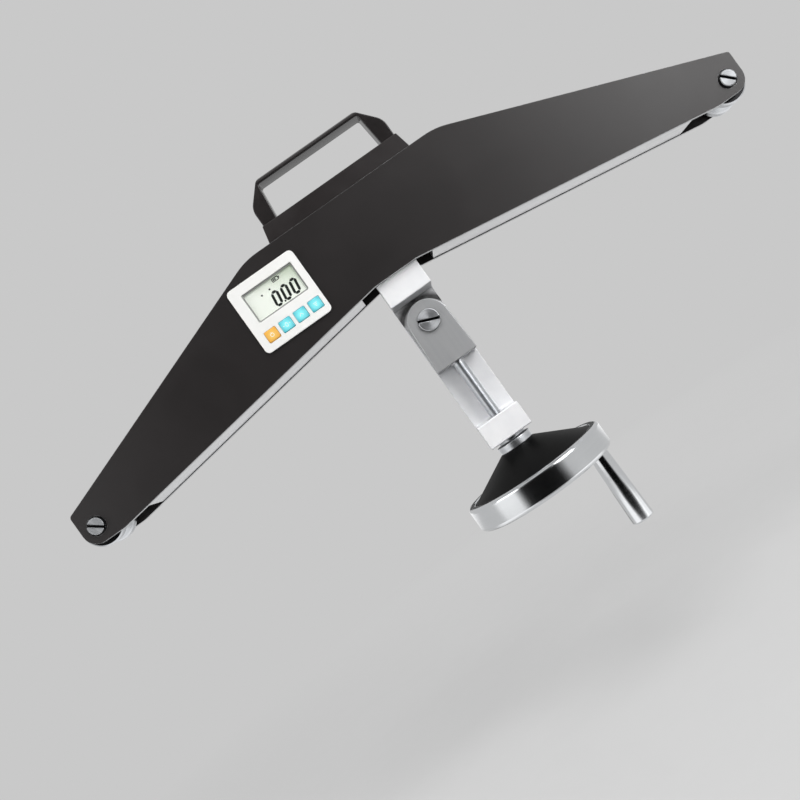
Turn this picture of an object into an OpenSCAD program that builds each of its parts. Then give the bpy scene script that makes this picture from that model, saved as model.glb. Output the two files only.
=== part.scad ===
// Wire rope tension meter: three rollers, a pull frame on a load cell, and a screw-driven clevis.
// The rope runs under the two end rollers and over the middle roller in the clevis. The handwheel
// lifts the clevis, and the load cell measures how hard the bent rope pulls the frame down.
// X runs along the body, Y from the display side to the rear, Z up to the carry handle. The origin
// is midway along the rope line, which touches the seats of both end rollers from below.

/* [Body plates] */
// Distance between the two end axles
span = 600; // [520:1:680]
// Thickness of each side plate
plate_t = 4; // [3:0.5:6]
// Clear space between the side plates
plate_gap = 34; // [33:0.5:40]
// Height of the top edge above the end axles
top_h = 101; // [98:0.5:115]
// Half length of the straight top edge
top_half = 90; // [86:1:110]
// Radius of the two shoulders beside the top edge
shoulder_r = 58; // [20:1:80]
// Reach of a plate beyond its end axle
end_reach = 13.5; // [12:0.5:20]
// Height of a plate's outer upper corner above the axle
end_h = 17; // [14:0.5:20]
// Depth of a plate below the end axle
foot_depth = 13.5; // [10:0.5:15]
// Length of the flat foot, inward of the axle
foot_in = 17.5; // [10:0.5:25]
// Radius of a plate's outer lower corner
foot_r = 12; // [4:0.5:12]
// Height of the arched lower edge above the axles, at the middle
arch_h = 26.5; // [22:0.5:30]
// Half length of the flat middle of the arch
arch_half = 19.5; // [15:0.5:30]

/* [Walls and beam] */
// Thickness of the walls between the plates
wall_t = 8; // [7:0.5:10]
// Depth of the walls behind the edges of the plates
wall_set = 0.6; // [0.2:0.1:1.5]
// Width of the notch between a lower wall and the pull frame
notch_w = 15; // [8:0.5:25]
// Clear length between an end roller and its lower wall
roller_bay = 21; // [10:0.5:40]
// Half length of the beam under the carry handle
beam_half = 78; // [70:1:80]
// Height of that beam
beam_t = 14; // [12:0.5:18]
// Diameter of the screws that hold the plates together
plate_screw_d = 4; // [3:0.5:5]
// Distance of those screws from the ends of a wall
screw_inset = 16; // [12:1:40]
// Distance of the beam's own plate screws from the middle
beam_screw_x = 40; // [34:1:46]

/* [Carry handle] */
// Height of the handle's base block
base_h = 16; // [12:0.5:22]
// Half length of the base block at the body
base_half = 67.5; // [66:0.5:74]
// Half length of the base block at its top
base_top_half = 64; // [63.5:0.5:66]
// Depth of the base block
base_d = 30; // [20:1:33]
// Half length of the handle across its legs
handle_half = 63.5; // [61:0.5:66]
// Height of the handle above its base
handle_h = 34; // [28:0.5:50]
// Height of the legs below the sloping shoulders
leg_h = 17.5; // [12:0.5:22]
// Half length of the grip's straight top
grip_half = 49; // [46:0.5:52]
// Half length of the finger opening at the base
opening_half = 51; // [48:0.5:53]
// Lean of each end of the finger opening
opening_lean = 3.2; // [0:0.1:5]
// Depth of the handle
handle_d = 16; // [14:0.5:24]
// Height of the grip's front and rear edges
grip_edge = 2.2; // [1.5:0.1:6]
// Rise of the rounded grip above its edges
grip_crown = 3.6; // [1:0.1:6]
// Diameter of the handle screws
handle_screw_d = 6; // [4:0.5:7]

/* [End rollers] */
// Seat radius at the bottom of an end roller's groove
seat_r = 13; // [12:0.5:14]
// Flange radius of an end roller
flange_r = 17.5; // [16.5:0.5:19]
// Width of an end roller
roller_w = 26; // [22:0.5:28]
// Width of the flat seat in each groove
seat_w = 6.4; // [5:0.2:7]
// Width of an end groove at the flanges
mouth_w = 14; // [12:0.5:18]
// Diameter of the end axles
axle_d = 10; // [8:0.5:11]
// Outer diameter of the bushes in the end rollers
end_bush_d = 14; // [13:0.5:17]
// Diameter of the slotted axle heads
head_d = 13.5; // [13:0.5:17]
// Height of the slotted heads
head_h = 4; // [3:0.5:5]
// Depth of the recess under each axle head
head_recess = 1.5; // [0.5:0.1:2]

/* [Pull frame] */
// Width of the pull frame
frame_w = 38; // [34:0.5:44]
// Side clearance of the pull frame between the plates
frame_clear = 0.5; // [0.3:0.1:1]
// Thickness of the frame's rear web
web_t = 5; // [4:0.5:5.5]
// Height of the root block's lower face above the end axles
root_h = 5.6; // [3:0.1:9]
// Height of the bottom block
block_h = 20.4; // [16:0.2:26]
// Height of the load cell
cell_h = 50; // [44:0.5:54]
// Width of the load cell
cell_w = 50; // [44:0.5:56]
// Thickness of the load cell
cell_d = 24; // [20:0.5:28]
// Diameter of the bolt and the stud in the load cell
cell_bolt_d = 10; // [8:0.5:12]

/* [Clevis] */
// Distance of the clevis pin below the end axles, at rest
pin_drop = 17.6; // [16:0.1:22]
// Radius of the round top of the clevis
clevis_r = 17.2; // [16.6:0.1:18.5]
// Distance from the clevis pin down to the base of the clevis
clevis_tail = 38.6; // [36:0.1:44]
// Thickness of each cheek
cheek_t = 4; // [3:0.5:4.5]
// Gap between the clevis and the rear web that guides it
guide_gap = 0.3; // [0.2:0.05:0.4]
// Diameter of the clevis pin
pin_d = 8; // [6:0.5:8.5]
// Diameter of the slotted pin head
pin_head_d = 18; // [13:0.5:20]
// Outer diameter of the bush in the middle roller
mid_bush_d = 11; // [10.5:0.5:12.5]
// Seat radius of the middle roller
mid_seat_r = 9; // [8:0.5:10]
// Flange radius of the middle roller
mid_flange_r = 15; // [13.5:0.5:15.5]

/* [Screw and handwheel] */
// Diameter of the screw rod
screw_d = 10; // [9:0.5:12]
// Length of screw rod in view between the clevis and the bottom block, at rest
screw_free = 53.2; // [51:0.2:70]
// Diameter of the neck that swivels in the clevis
neck_d = 7; // [5:0.5:8]
// Outer diameter of the threaded bush
bush_d = 18; // [15:0.5:22]
// Diameter of the bush's flange
bush_flange_d = 24; // [22.5:0.5:27]
// Diameter of the collar above the handwheel
collar_d = 30; // [24:0.5:32]
// Height of that collar
collar_h = 6; // [4:0.5:10]
// Outer diameter of the handwheel
wheel_d = 125; // [110:1:160]
// Width of the bright rim band
rim_w = 7; // [5:0.5:8]
// Height of the rim band
rim_h = 21; // [16:0.5:26]
// Height of the handwheel's hub above the rim
wheel_rise = 19.6; // [14:0.2:26]
// Radius of the handwheel's hub
hub_r = 15; // [11:0.5:18]
// Length of the handwheel's hub
hub_len = 30; // [26:0.5:32]
// Distance of the crank grip from the screw
crank_r = 48.5; // [38:0.5:48.8]
// Length of the crank grip
grip_len = 64.5; // [50:0.5:90]
// Diameter of the crank grip beside the wheel
grip_d = 16; // [14.5:0.5:20]
// Diameter of the crank grip at its free end
grip_end_d = 19; // [17:0.5:24]
// Diameter of the crank spindle
spindle_d = 8; // [6:0.5:8.5]

/* [Display] */
// Distance of the display from the middle of the body, to the left
display_x = 86.5; // [84:0.5:100]
// Height of the display above the end axles
display_h = 59.5; // [56:0.5:61]
// Width of the white bezel
bezel_w = 61.5; // [61:0.5:66]
// Height of the white bezel
bezel_l = 57.5; // [56.5:0.5:60]
// Corner radius of the bezel
bezel_r = 4; // [1:0.5:6]
// Stand of the bezel in front of the plate
bezel_proud = 1.6; // [1:0.1:3]
// Width of the window
window_w = 46.5; // [40:0.5:47]
// Height of the window
window_l = 25.5; // [22:0.5:26]
// Height of the window's centre above the bezel's centre
window_up = 7.7; // [7:0.1:8.2]
// Distance of the window and the buttons from the bezel's centre, to the right
face_side = 1.5; // [0:0.1:2]
// Width of a button
key_w = 10.2; // [8:0.1:10.6]
// Height of a button
key_l = 9.2; // [7:0.1:9.6]
// Distance between neighbouring buttons
key_pitch = 13.6; // [12.8:0.1:13.8]
// Distance of the buttons below the bezel's centre
key_down = 17.9; // [17.2:0.1:18.2]
// Stand of the buttons in front of the bezel
key_proud = 0.4; // [0.1:0.1:1.5]

/* [Hidden] */
$fn = 64;

// Clearances: fixed fits, running fits, flat faces that pass each other, and cutter overrun
fit_gap = 0.05;
run_gap = 0.05;
side_gap = 0.3;
over = 1;
corner_steps = 6;

// Places of the plates and of the axles
axle_x = span / 2;
axle_z = seat_r;
y_in = plate_gap / 2;
y_out = y_in + plate_t;
top_z = axle_z + top_h;
foot_z = axle_z - foot_depth;
foot_x = axle_x - foot_in;
arch_z = axle_z + arch_h;
end_x = axle_x + end_reach;
end_z = axle_z + end_h;
end_corner_r = 3;
foot_bend_r = 30;
arch_bend_r = 12;
lower_a = atan2(arch_z - foot_z, foot_x - arch_half);
upper_a = atan2(top_z - end_z, end_x - top_half);

// Walls, beam and their screws
wall_in = frame_w / 2 + notch_w;
wall_out = axle_x - flange_r - roller_bay;
upper_clear = 1;
upper_out = axle_x - flange_r - upper_clear;
lower_rise = wall_t / cos(lower_a);
upper_rise = wall_t / cos(upper_a);
upper_set = wall_set / cos(upper_a);
beam_z = top_z - beam_t;
shoulder_run = shoulder_r * tan(upper_a / 2);
screw_grip = 3;
screw_head_d = 2 * plate_screw_d;
screw_flush = 0.2;
lower_screws = [wall_in + screw_inset, wall_out - screw_inset];
upper_first = max(top_half + shoulder_run + screw_inset, display_x + bezel_w / 2 + plate_screw_d);
upper_screws = [upper_first, upper_out - screw_inset];

// Handle
base_z = top_z + base_h;
handle_z = base_z + handle_h;
leg_x = (handle_half + opening_half) / 2;
handle_shoulder_r = 14;
handle_screw_depth = 12;
handle_head_d = handle_screw_d * 5 / 3;

// Pull frame and load cell
frame_y = y_in - frame_clear;
web_y = frame_y - web_t;
root_z = axle_z + root_h;
cell_z = beam_z - cell_h;
cell_mid = cell_z + cell_h / 2;
cell_grip = 10;
cell_slot = 4;
cell_hinge = 8;
bolt_head_d = cell_bolt_d * 1.8;
bolt_head_h = cell_bolt_d * 0.64;
bolt_sink = 0.4;
bolt_room = 1;

// Clevis, middle roller and swivel
pin_z = axle_z - pin_drop;
clevis_z = pin_z - clevis_tail;
clevis_y = web_y - guide_gap;
cheek_y = clevis_y - cheek_t;
mid_w = 2 * (cheek_y - side_gap);
mid_flange_w = 1.2;
nut_h = 5;
nut_side = 1.2;
swivel_nut_d = 2 * (cheek_y - nut_side);
nut_room = 1.5;
floor_z = pin_z - mid_flange_r - nut_room - nut_h;
washer_t = 1;
washer_wall = 1.5;
swivel_gap = 0.1;

// Screw and handwheel
block_z = clevis_z - screw_free;
block_low = block_z - block_h;
bush_flange_t = 2.5;
stop_gap = 0.7;
collar_z = block_low - bush_flange_t - stop_gap;
hub_z = collar_z - collar_h;
hub_low = hub_z - hub_len;
rim_z = hub_z - wheel_rise;
rim_low = rim_z - rim_h;
wheel_r = wheel_d / 2;
web_r = wheel_r - rim_w;
dish_t = 7;
dish_root = 4;
web_drop = 1.5;
hub_margin = 3;
wheel_washer_t = 2;
wheel_nut_h = 7;
screw_tail = 1.5;
screw_end = hub_low - wheel_washer_t - wheel_nut_h - screw_tail;
key_size = 3;
key_len = 14;
key_out = screw_d / 2 + 1.3;
boss_margin = 0.2;
crank_boss_d = 2 * (web_r - crank_r - boss_margin);
spindle_flange_t = 1.7;
spindle_grip = 12;
grip_z = rim_low - spindle_flange_t - side_gap;
grip_low = grip_z - grip_len;
spindle_lip = 2;
spindle_head_d = spindle_d + 2 * spindle_lip;
flange_margin = 1;
spindle_head_t = 4;
cap_depth = 6;

// Display
face_y = -y_out - bezel_proud;
boss_in = 2;
boss_w = bezel_w - 2 * boss_in;
boss_l = bezel_l - 2 * boss_in;
boss_r = 2;
window_lip = 1.2;
pane_t = 1.4;
pane_rim = 1;
pane_y = face_y + window_lip;
lcd_y = pane_y + pane_t;
board_t = 1.6;
board_y = -y_in;
board_margin = 1;
board_w = boss_w - 2 * board_margin;
board_l = boss_l - 2 * board_margin;
key_lip = 2.9;
key_rim = 0.7;
key_flange_t = 1;
key_gap = 0.25;
dome_t = 0.5;
board_screw_d = 2.5;
board_screw_grip = 3;
board_head_d = board_screw_d * 1.8;
board_head_h = board_screw_d * 0.7;
board_room = 0.5;
pane_foot = window_up - window_l / 2 - pane_rim;
key_top = key_l / 2 + key_gap + key_rim - key_down;
board_spots = [
    for (x = [face_side - window_w / 2, face_side + window_w / 2])
        for (z = [(board_l - board_head_d) / 2, (pane_foot + key_top) / 2])
            [x, z]
];
battery_size = [60, 15, 34];
lead_d = 3;
lead_plug = [7, 7, 9];
lead_lift = 0.5;
socket_in = 100;
socket_x = axle_x - socket_in;
socket_d = 8;
socket_body_d = 11;
socket_body_h = 10;
socket_bore_d = 5.5;
socket_lip = 1.2;
socket_pin_d = 2;
recess_room = 1;
spacer_wall = 3;
slot_w = 2;
slot_depth = 2;
slot_turn_left = -37;
slot_turn_right = -45;
slot_turn_pin = -22;

// Height of the plates' lower and upper edges at a distance x from the middle
function lower_edge(x) = foot_z + (foot_x - x) * tan(lower_a);
function upper_edge(x) = end_z + (end_x - x) * tan(upper_a);

function unit(v) = v / norm(v);
function wrap(a) = a > 180 ? a - 360 : a < -180 ? a + 360 : a;

// Arc that rounds the corner p between its neighbours a and b
function corner(a, p, b, r) =
    r <= 0 ? [p] :
    let (
        u = unit(a - p),
        w = unit(b - p),
        half = acos(max(-1, min(1, u * w))) / 2,
        centre = p + unit(u + w) * r / sin(half),
        first = p + u * r / tan(half) - centre,
        last = p + w * r / tan(half) - centre,
        from = atan2(first[1], first[0]),
        sweep = wrap(atan2(last[1], last[0]) - from)
    )
    [for (i = [0 : corner_steps]) centre + r * [
        cos(from + sweep * i / corner_steps),
        sin(from + sweep * i / corner_steps)
    ]];

// Closed outline through the points, each corner rounded by its own radius
function rounded(points, radii) = [
    for (i = [0 : len(points) - 1])
        each corner(
            points[(i + len(points) - 1) % len(points)],
            points[i],
            points[(i + 1) % len(points)],
            radii[i]
        )
];

// Rectangle about the origin with rounded corners
function round_rect(w, l, r) = rounded(
    [[-w / 2, -l / 2], [w / 2, -l / 2], [w / 2, l / 2], [-w / 2, l / 2]],
    [r, r, r, r]
);

// The right shoulder of the body, moved inward by a depth
function shoulder(depth) = corner(
    [0, top_z - depth],
    [top_half - depth * tan(upper_a / 2), top_z - depth],
    [end_x, upper_edge(end_x) - depth / cos(upper_a)],
    shoulder_r - depth
);

plate_outline = rounded(
    [
        [-end_x, foot_z], [-foot_x, foot_z], [-arch_half, arch_z],
        [arch_half, arch_z], [foot_x, foot_z], [end_x, foot_z],
        [end_x, end_z], [top_half, top_z], [-top_half, top_z], [-end_x, end_z]
    ],
    [
        foot_r, foot_bend_r, arch_bend_r, arch_bend_r, foot_bend_r, foot_r,
        end_corner_r, shoulder_r, shoulder_r, end_corner_r
    ]
);

// A flat outline in X and Z, as thick as from y0 to y1
module slab(y0, y1) {
    translate([0, y1, 0]) rotate([90, 0, 0]) linear_extrude(y1 - y0) children();
}

// A round bar along Y
module bar_y(d, y0, y1) {
    translate([0, y1, 0]) rotate([90, 0, 0]) cylinder(d = d, h = y1 - y0);
}

// A box between two corners
module block(low, high) {
    translate(low) cube(high - low);
}

// A ring or disc along Z
module disc(d, z0, z1, bore = 0) {
    difference() {
        translate([0, 0, z0]) cylinder(d = d, h = z1 - z0);
        if (bore > 0) translate([0, 0, z0 - over]) cylinder(d = bore, h = z1 - z0 + 2 * over);
    }
}

module sided(side) {
    mirror([side < 0 ? 1 : 0, 0, 0]) children();
}

module at_axle(side) {
    translate([side * axle_x, 0, axle_z]) children();
}

// Places of all plate screws
module at_plate_screws() {
    for (side = [-1, 1]) {
        for (x = lower_screws)
            translate([side * x, 0, lower_edge(x) + wall_set + lower_rise / 2]) children();
        for (x = upper_screws)
            translate([side * x, 0, upper_edge(x) - upper_set - upper_rise / 2]) children();
        translate([side * beam_screw_x, 0, top_z - beam_t / 2]) children();
    }
}

// Countersunk plate screw. Its own hole has a little more radius, and a lead above the head.
module plate_screw(grow = 0, lead = 0) {
    head_r = screw_head_d / 2 + grow;
    shank_r = plate_screw_d / 2 + grow;
    head_y = y_out - screw_flush;
    bar_y(2 * shank_r, -y_in - screw_grip - grow, head_y);
    translate([0, head_y, 0]) rotate([90, 0, 0])
        cylinder(r1 = head_r, r2 = shank_r, h = head_r - shank_r);
    if (lead > 0) bar_y(2 * head_r, head_y, head_y + lead);
}

module plate_screw_holes() {
    at_plate_screws() bar_y(plate_screw_d + 2 * fit_gap, -y_out, y_out + over);
}

// Grooved roller along Y
module roller(flange, seat, bore_d, width, mouth) {
    rim = 1;
    rotate([90, 0, 0]) rotate_extrude() polygon(rounded(
        [
            [bore_d / 2, -width / 2], [flange - rim, -width / 2], [flange, -width / 2 + rim],
            [flange, -mouth / 2], [seat, -seat_w / 2], [seat, seat_w / 2], [flange, mouth / 2],
            [flange, width / 2 - rim], [flange - rim, width / 2], [bore_d / 2, width / 2]
        ],
        [0, 0, 0, 0.4, 1.6, 1.6, 0.4, 0, 0, 0]
    ));
}

module sleeve_y(d, bore, y0, y1) {
    difference() {
        bar_y(d, y0, y1);
        bar_y(bore, y0 - over, y1 + over);
    }
}

// Slotted cheese head that faces the front, its seat at y
module slotted_head(d, h, y, turn) {
    edge = 0.8;
    translate([0, y, 0]) difference() {
        rotate([90, 0, 0]) rotate_extrude() polygon(rounded(
            [[0, 0], [d / 2, 0], [d / 2, h], [0, h]],
            [0, 0, edge, 0]
        ));
        rotate([0, -turn, 0]) block(
            [-d, -h - over, -slot_w / 2],
            [d, -h + slot_depth, slot_w / 2]
        );
    }
}

module front_plate() {
    color("#2d2b2a") difference() {
        slab(-y_out, -y_in) polygon(plate_outline);
        for (side = [-1, 1]) at_axle(side) {
            bar_y(axle_d + 2 * fit_gap, -y_out - over, -y_in + over);
            bar_y(head_d + 2 * recess_room, -y_out - over, -y_out + head_recess);
        }
        at_display() slab(-y_out - over, -y_in + over)
            polygon(round_rect(boss_w + 2 * fit_gap, boss_l + 2 * fit_gap, boss_r));
        at_plate_screws()
            bar_y(plate_screw_d + 2 * fit_gap, -y_in - screw_grip - fit_gap, -y_in + over);
    }
}

module rear_plate() {
    color("#2d2b2a") difference() {
        slab(y_in, y_out) polygon(plate_outline);
        for (side = [-1, 1]) at_axle(side) bar_y(axle_d + 2 * fit_gap, y_in - over, y_out + over);
        at_plate_screws() plate_screw(fit_gap, screw_flush + over);
    }
}

module lower_wall(side) {
    inner_z = lower_edge(wall_in) + wall_set;
    outer_z = lower_edge(wall_out) + wall_set;
    color("#d9dadc") difference() {
        sided(side) slab(-y_in, y_in) polygon([
            [wall_in, inner_z], [wall_out, outer_z],
            [wall_out, outer_z + lower_rise], [wall_in, inner_z + lower_rise]
        ]);
        plate_screw_holes();
    }
}

// Wall along the shoulder, from the end of the beam. The left one is relieved beside the circuit board.
module upper_wall(side) {
    outer = shoulder(wall_set);
    inner = shoulder(wall_set + wall_t);
    end_top = upper_edge(upper_out) - upper_set;
    color("#2d2b2a") difference() {
        sided(side) slab(-y_in, y_in) polygon(concat(
            [[0, top_z - wall_set]],
            outer,
            [[upper_out, end_top], [upper_out, end_top - upper_rise]],
            [for (i = [len(inner) - 1 : -1 : 0]) inner[i]],
            [[0, top_z - wall_set - wall_t]]
        ));
        block([-beam_half, -y_out, beam_z], [beam_half, y_out, top_z + over]);
        plate_screw_holes();
        if (side < 0) {
            at_socket() disc(socket_d + 2 * fit_gap, -2 * wall_t, over);
            at_display() slab(-y_out, board_y + board_t + board_head_h + board_room)
                polygon(round_rect(board_w + 2 * board_room, board_l + 2 * board_room, boss_r));
        }
    }
}

module top_beam() {
    color("#3a3b3d") difference() {
        intersection() {
            block([-beam_half, -y_in, beam_z], [beam_half, y_in, top_z]);
            slab(-y_in, y_in) polygon(plate_outline);
        }
        disc(cell_bolt_d + 2 * fit_gap, beam_z - over, top_z + over);
        disc(bolt_head_d + 2 * bolt_room, top_z - bolt_head_h - bolt_sink, top_z + over);
        for (side = [-1, 1]) translate([side * leg_x, 0, 0])
            disc(handle_screw_d + 2 * fit_gap, beam_z - over, top_z + over);
        plate_screw_holes();
    }
}

module plate_screws() {
    socket_af = plate_screw_d * 0.7;
    color("#8d9094") at_plate_screws() difference() {
        plate_screw();
        translate([0, y_out + over, 0]) rotate([90, 0, 0])
            cylinder(d = socket_af, h = plate_screw_d * 0.4 + over, $fn = 6);
    }
}

module handle_base() {
    color("#2a2625") difference() {
        slab(-base_d / 2, base_d / 2) polygon(rounded(
            [[-base_half, top_z], [base_half, top_z], [base_top_half, base_z], [-base_top_half, base_z]],
            [0, 0, 1, 1]
        ));
        for (side = [-1, 1]) translate([side * leg_x, 0, 0])
            disc(handle_screw_d + 2 * fit_gap, top_z - over, base_z + over);
    }
}

// The grip's edges are thin and its top is crowned from front to rear
module carry_handle() {
    slope = (handle_half - grip_half) / (handle_h - leg_h);
    crown_r = (pow(handle_d / 2, 2) + pow(grip_crown, 2)) / (2 * grip_crown);
    peak_z = handle_z + grip_crown;
    peak_half = grip_half - slope * grip_crown;
    shoulder_z = base_z + leg_h;
    grip_z0 = handle_z - grip_edge;
    outline = rounded(
        [
            [-handle_half, base_z], [handle_half, base_z], [handle_half, shoulder_z],
            [peak_half, peak_z], [-peak_half, peak_z], [-handle_half, shoulder_z]
        ],
        [0, 0, handle_shoulder_r, 1, 1, handle_shoulder_r]
    );
    color("#1e1c1c") difference() {
        intersection() {
            slab(-handle_d / 2, handle_d / 2) polygon(outline);
            union() {
                block([-handle_half, -handle_d, base_z], [handle_half, handle_d, handle_z]);
                translate([0, 0, peak_z - crown_r]) rotate([0, 90, 0])
                    cylinder(r = crown_r, h = 2 * handle_half, center = true);
            }
        }
        slab(-handle_d, handle_d) polygon(rounded(
            [
                [-opening_half, base_z - over], [opening_half, base_z - over],
                [opening_half - opening_lean, grip_z0], [opening_lean - opening_half, grip_z0]
            ],
            [0, 0, 2, 2]
        ));
        for (side = [-1, 1]) translate([side * leg_x, 0, 0])
            disc(handle_screw_d + 2 * fit_gap, base_z - over, base_z + handle_screw_depth + fit_gap);
    }
}

module handle_screws() {
    color("#7e8083") for (side = [-1, 1]) translate([side * leg_x, 0, 0]) difference() {
        union() {
            disc(handle_screw_d, beam_z - over, base_z + handle_screw_depth);
            disc(handle_head_d, beam_z - handle_screw_d, beam_z);
        }
        translate([0, 0, beam_z - handle_screw_d - over])
            cylinder(d = handle_screw_d * 0.9, h = handle_screw_d / 2 + over, $fn = 6);
    }
}

// S type load cell: two slots from opposite sides, and a thinned bridge between them
module load_cell() {
    half = cell_w / 2;
    slot_z = 11;
    eye_x = 7.5;
    eye_d = 10;
    color("#b9bcc0") difference() {
        block([-half, -cell_d / 2, cell_z], [half, cell_d / 2, beam_z]);
        for (side = [-1, 1]) translate([0, 0, cell_mid + side * slot_z]) sided(side) block(
            [-half - over, -cell_d, -cell_slot / 2],
            [half - cell_hinge, cell_d, cell_slot / 2]
        );
        translate([0, 0, cell_mid]) {
            for (side = [-1, 1]) translate([side * eye_x, 0, 0]) bar_y(eye_d, -cell_d, cell_d);
            block([-eye_x, -cell_d, -cell_slot / 2], [eye_x, cell_d, cell_slot / 2]);
        }
        disc(cell_bolt_d + 2 * fit_gap, beam_z - cell_grip, beam_z + over);
        disc(cell_bolt_d + 2 * fit_gap, cell_z - over, cell_z + cell_grip);
    }
}

module cell_bolt() {
    color("#8d9094") {
        disc(cell_bolt_d, beam_z - cell_grip + side_gap, top_z - bolt_head_h - bolt_sink + fit_gap);
        translate([0, 0, top_z - bolt_head_h - bolt_sink])
            cylinder(d = bolt_head_d, h = bolt_head_h, $fn = 6);
    }
}

module cell_stud() {
    color("#8d9094") disc(cell_bolt_d, cell_z - cell_grip + side_gap, cell_z + cell_grip - side_gap);
}

// C shaped frame, open to the front so that the rope can be laid in
module pull_frame() {
    bay_r = 2.5;
    edge = 1;
    color("#e9eaec") difference() {
        rotate([90, 0, 90]) linear_extrude(frame_w, center = true) polygon(rounded(
            [
                [-frame_y, block_low], [frame_y, block_low], [frame_y, cell_z], [-frame_y, cell_z],
                [-frame_y, root_z], [web_y, root_z], [web_y, block_z], [-frame_y, block_z]
            ],
            [edge, edge, 0, 0, edge, bay_r, bay_r, edge]
        ));
        disc(cell_bolt_d + 2 * fit_gap, cell_z - cell_grip, cell_z + over);
        disc(bush_d + 2 * fit_gap, block_low - over, block_z + over);
    }
}

module thread_bush() {
    color("#c9cbce") difference() {
        union() {
            disc(bush_d, block_low - bush_flange_t, block_z);
            disc(bush_flange_d, block_low - bush_flange_t, block_low);
        }
        disc(screw_d + 2 * run_gap, block_low - bush_flange_t - over, block_z + over);
    }
}

module end_axle(side, turn) {
    seat_y = -y_out + head_recess;
    color("#c9cbce") at_axle(side) {
        bar_y(axle_d, seat_y - fit_gap, y_out - screw_flush);
        slotted_head(head_d, head_h, seat_y, turn);
    }
}

module axle_spacers(side) {
    inner = roller_w / 2 + side_gap;
    color("#a9acb0") at_axle(side) {
        sleeve_y(axle_d + 2 * spacer_wall, axle_d + 2 * fit_gap, -y_in, -inner);
        sleeve_y(axle_d + 2 * spacer_wall, axle_d + 2 * fit_gap, inner, y_in);
    }
}

module end_roller(side) {
    color("#dfe1e3") at_axle(side)
        roller(flange_r, seat_r, end_bush_d + 2 * fit_gap, roller_w, mouth_w);
}

module roller_bush(side) {
    color("#b8893c") at_axle(side)
        sleeve_y(end_bush_d, axle_d + 2 * run_gap, -roller_w / 2, roller_w / 2);
}

// Fork with a round top about the pin and sides that widen to the frame's own width
module clevis() {
    half = frame_w / 2;
    steps = 24;
    lean = atan2(half, clevis_tail) + acos(clevis_r / norm([half, clevis_tail]));
    top_arc = [
        for (i = [0 : steps])
            let (a = -90 + lean + i / steps * (360 - 2 * lean))
            [clevis_r * cos(a), pin_z + clevis_r * sin(a)]
    ];
    color("#9b9c9e") difference() {
        slab(-clevis_y, clevis_y) polygon(concat([[-half, clevis_z], [half, clevis_z]], top_arc));
        block([-frame_w, -cheek_y, floor_z], [frame_w, cheek_y, axle_z + clevis_r]);
        translate([0, 0, pin_z]) bar_y(pin_d + 2 * fit_gap, -frame_y - over, frame_y + over);
        disc(neck_d + 2 * run_gap, clevis_z - over, floor_z + over);
    }
}

module clevis_pin() {
    color("#c9cbce") translate([0, 0, pin_z]) {
        bar_y(pin_d, -clevis_y - fit_gap, clevis_y - screw_flush);
        slotted_head(pin_head_d, head_h - head_recess, -clevis_y, slot_turn_pin);
    }
}

module middle_roller() {
    color("#dfe1e3") translate([0, 0, pin_z])
        roller(mid_flange_r, mid_seat_r, mid_bush_d + 2 * fit_gap, mid_w, mid_w - 2 * mid_flange_w);
}

module middle_bush() {
    color("#b8893c") translate([0, 0, pin_z])
        sleeve_y(mid_bush_d, pin_d + 2 * run_gap, -mid_w / 2, mid_w / 2);
}

// Threaded rod with a swivel neck at the top and a keyed seat for the handwheel below
module lead_screw() {
    shoulder_z = clevis_z - washer_t - 2 * swivel_gap;
    color("#d4d6d9") difference() {
        union() {
            disc(screw_d, screw_end, shoulder_z);
            disc(neck_d, shoulder_z - over, floor_z + swivel_gap + nut_h);
        }
        block(
            [key_out - key_size - fit_gap, -key_size / 2 - fit_gap, hub_z - key_len - fit_gap],
            [screw_d, key_size / 2 + fit_gap, hub_z]
        );
    }
}

module thrust_washer() {
    color("#c9cbce") disc(
        screw_d + 2 * washer_wall,
        clevis_z - swivel_gap - washer_t,
        clevis_z - swivel_gap,
        neck_d + 2 * run_gap
    );
}

module swivel_nut() {
    color("#8d9094") disc(
        swivel_nut_d, floor_z + swivel_gap, floor_z + swivel_gap + nut_h, neck_d + 2 * fit_gap
    );
}

module hub_collar() {
    color("#d0d2d5") disc(collar_d, hub_z, collar_z, screw_d + 2 * fit_gap);
}

// Dished wheel: hub, coned web, and a boss for the crank spindle
module handwheel() {
    edge_z = rim_z - web_drop;
    color("#161616") difference() {
        union() {
            rotate_extrude() polygon(rounded(
                [
                    [0, hub_low], [hub_r, hub_low], [hub_r, hub_z - dish_t - dish_root],
                    [web_r - 2, edge_z - dish_t], [web_r, edge_z - dish_t], [web_r, edge_z],
                    [hub_r, hub_z], [0, hub_z]
                ],
                [0, 1, 4, 0, 0, 1, 8, 0]
            ));
            translate([crank_r, 0, 0]) disc(crank_boss_d, rim_low, edge_z - dish_t / 2);
        }
        disc(screw_d + 2 * fit_gap, hub_low - over, hub_z + over);
        translate([crank_r, 0, 0])
            disc(spindle_d + 2 * fit_gap, rim_low - over, rim_low + spindle_grip + fit_gap);
        block(
            [0, -key_size / 2 - fit_gap, hub_z - key_len - fit_gap],
            [key_out + fit_gap, key_size / 2 + fit_gap, hub_z + over]
        );
    }
}

module handwheel_rim() {
    lip = 3.2;
    inner_r = web_r + fit_gap;
    color("#dcdee0") rotate_extrude() polygon(rounded(
        [[inner_r, rim_low], [wheel_r, rim_low], [wheel_r, rim_z], [inner_r, rim_z]],
        [1.2, lip, lip, 1.2]
    ));
}

module wheel_key() {
    color("#8d9094") block(
        [key_out - key_size, -key_size / 2, hub_z - key_len],
        [key_out, key_size / 2, hub_z - fit_gap]
    );
}

module wheel_washer() {
    color("#b7babd") disc(
        2 * (hub_r - hub_margin), hub_low - wheel_washer_t, hub_low, screw_d + 2 * fit_gap
    );
}

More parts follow.
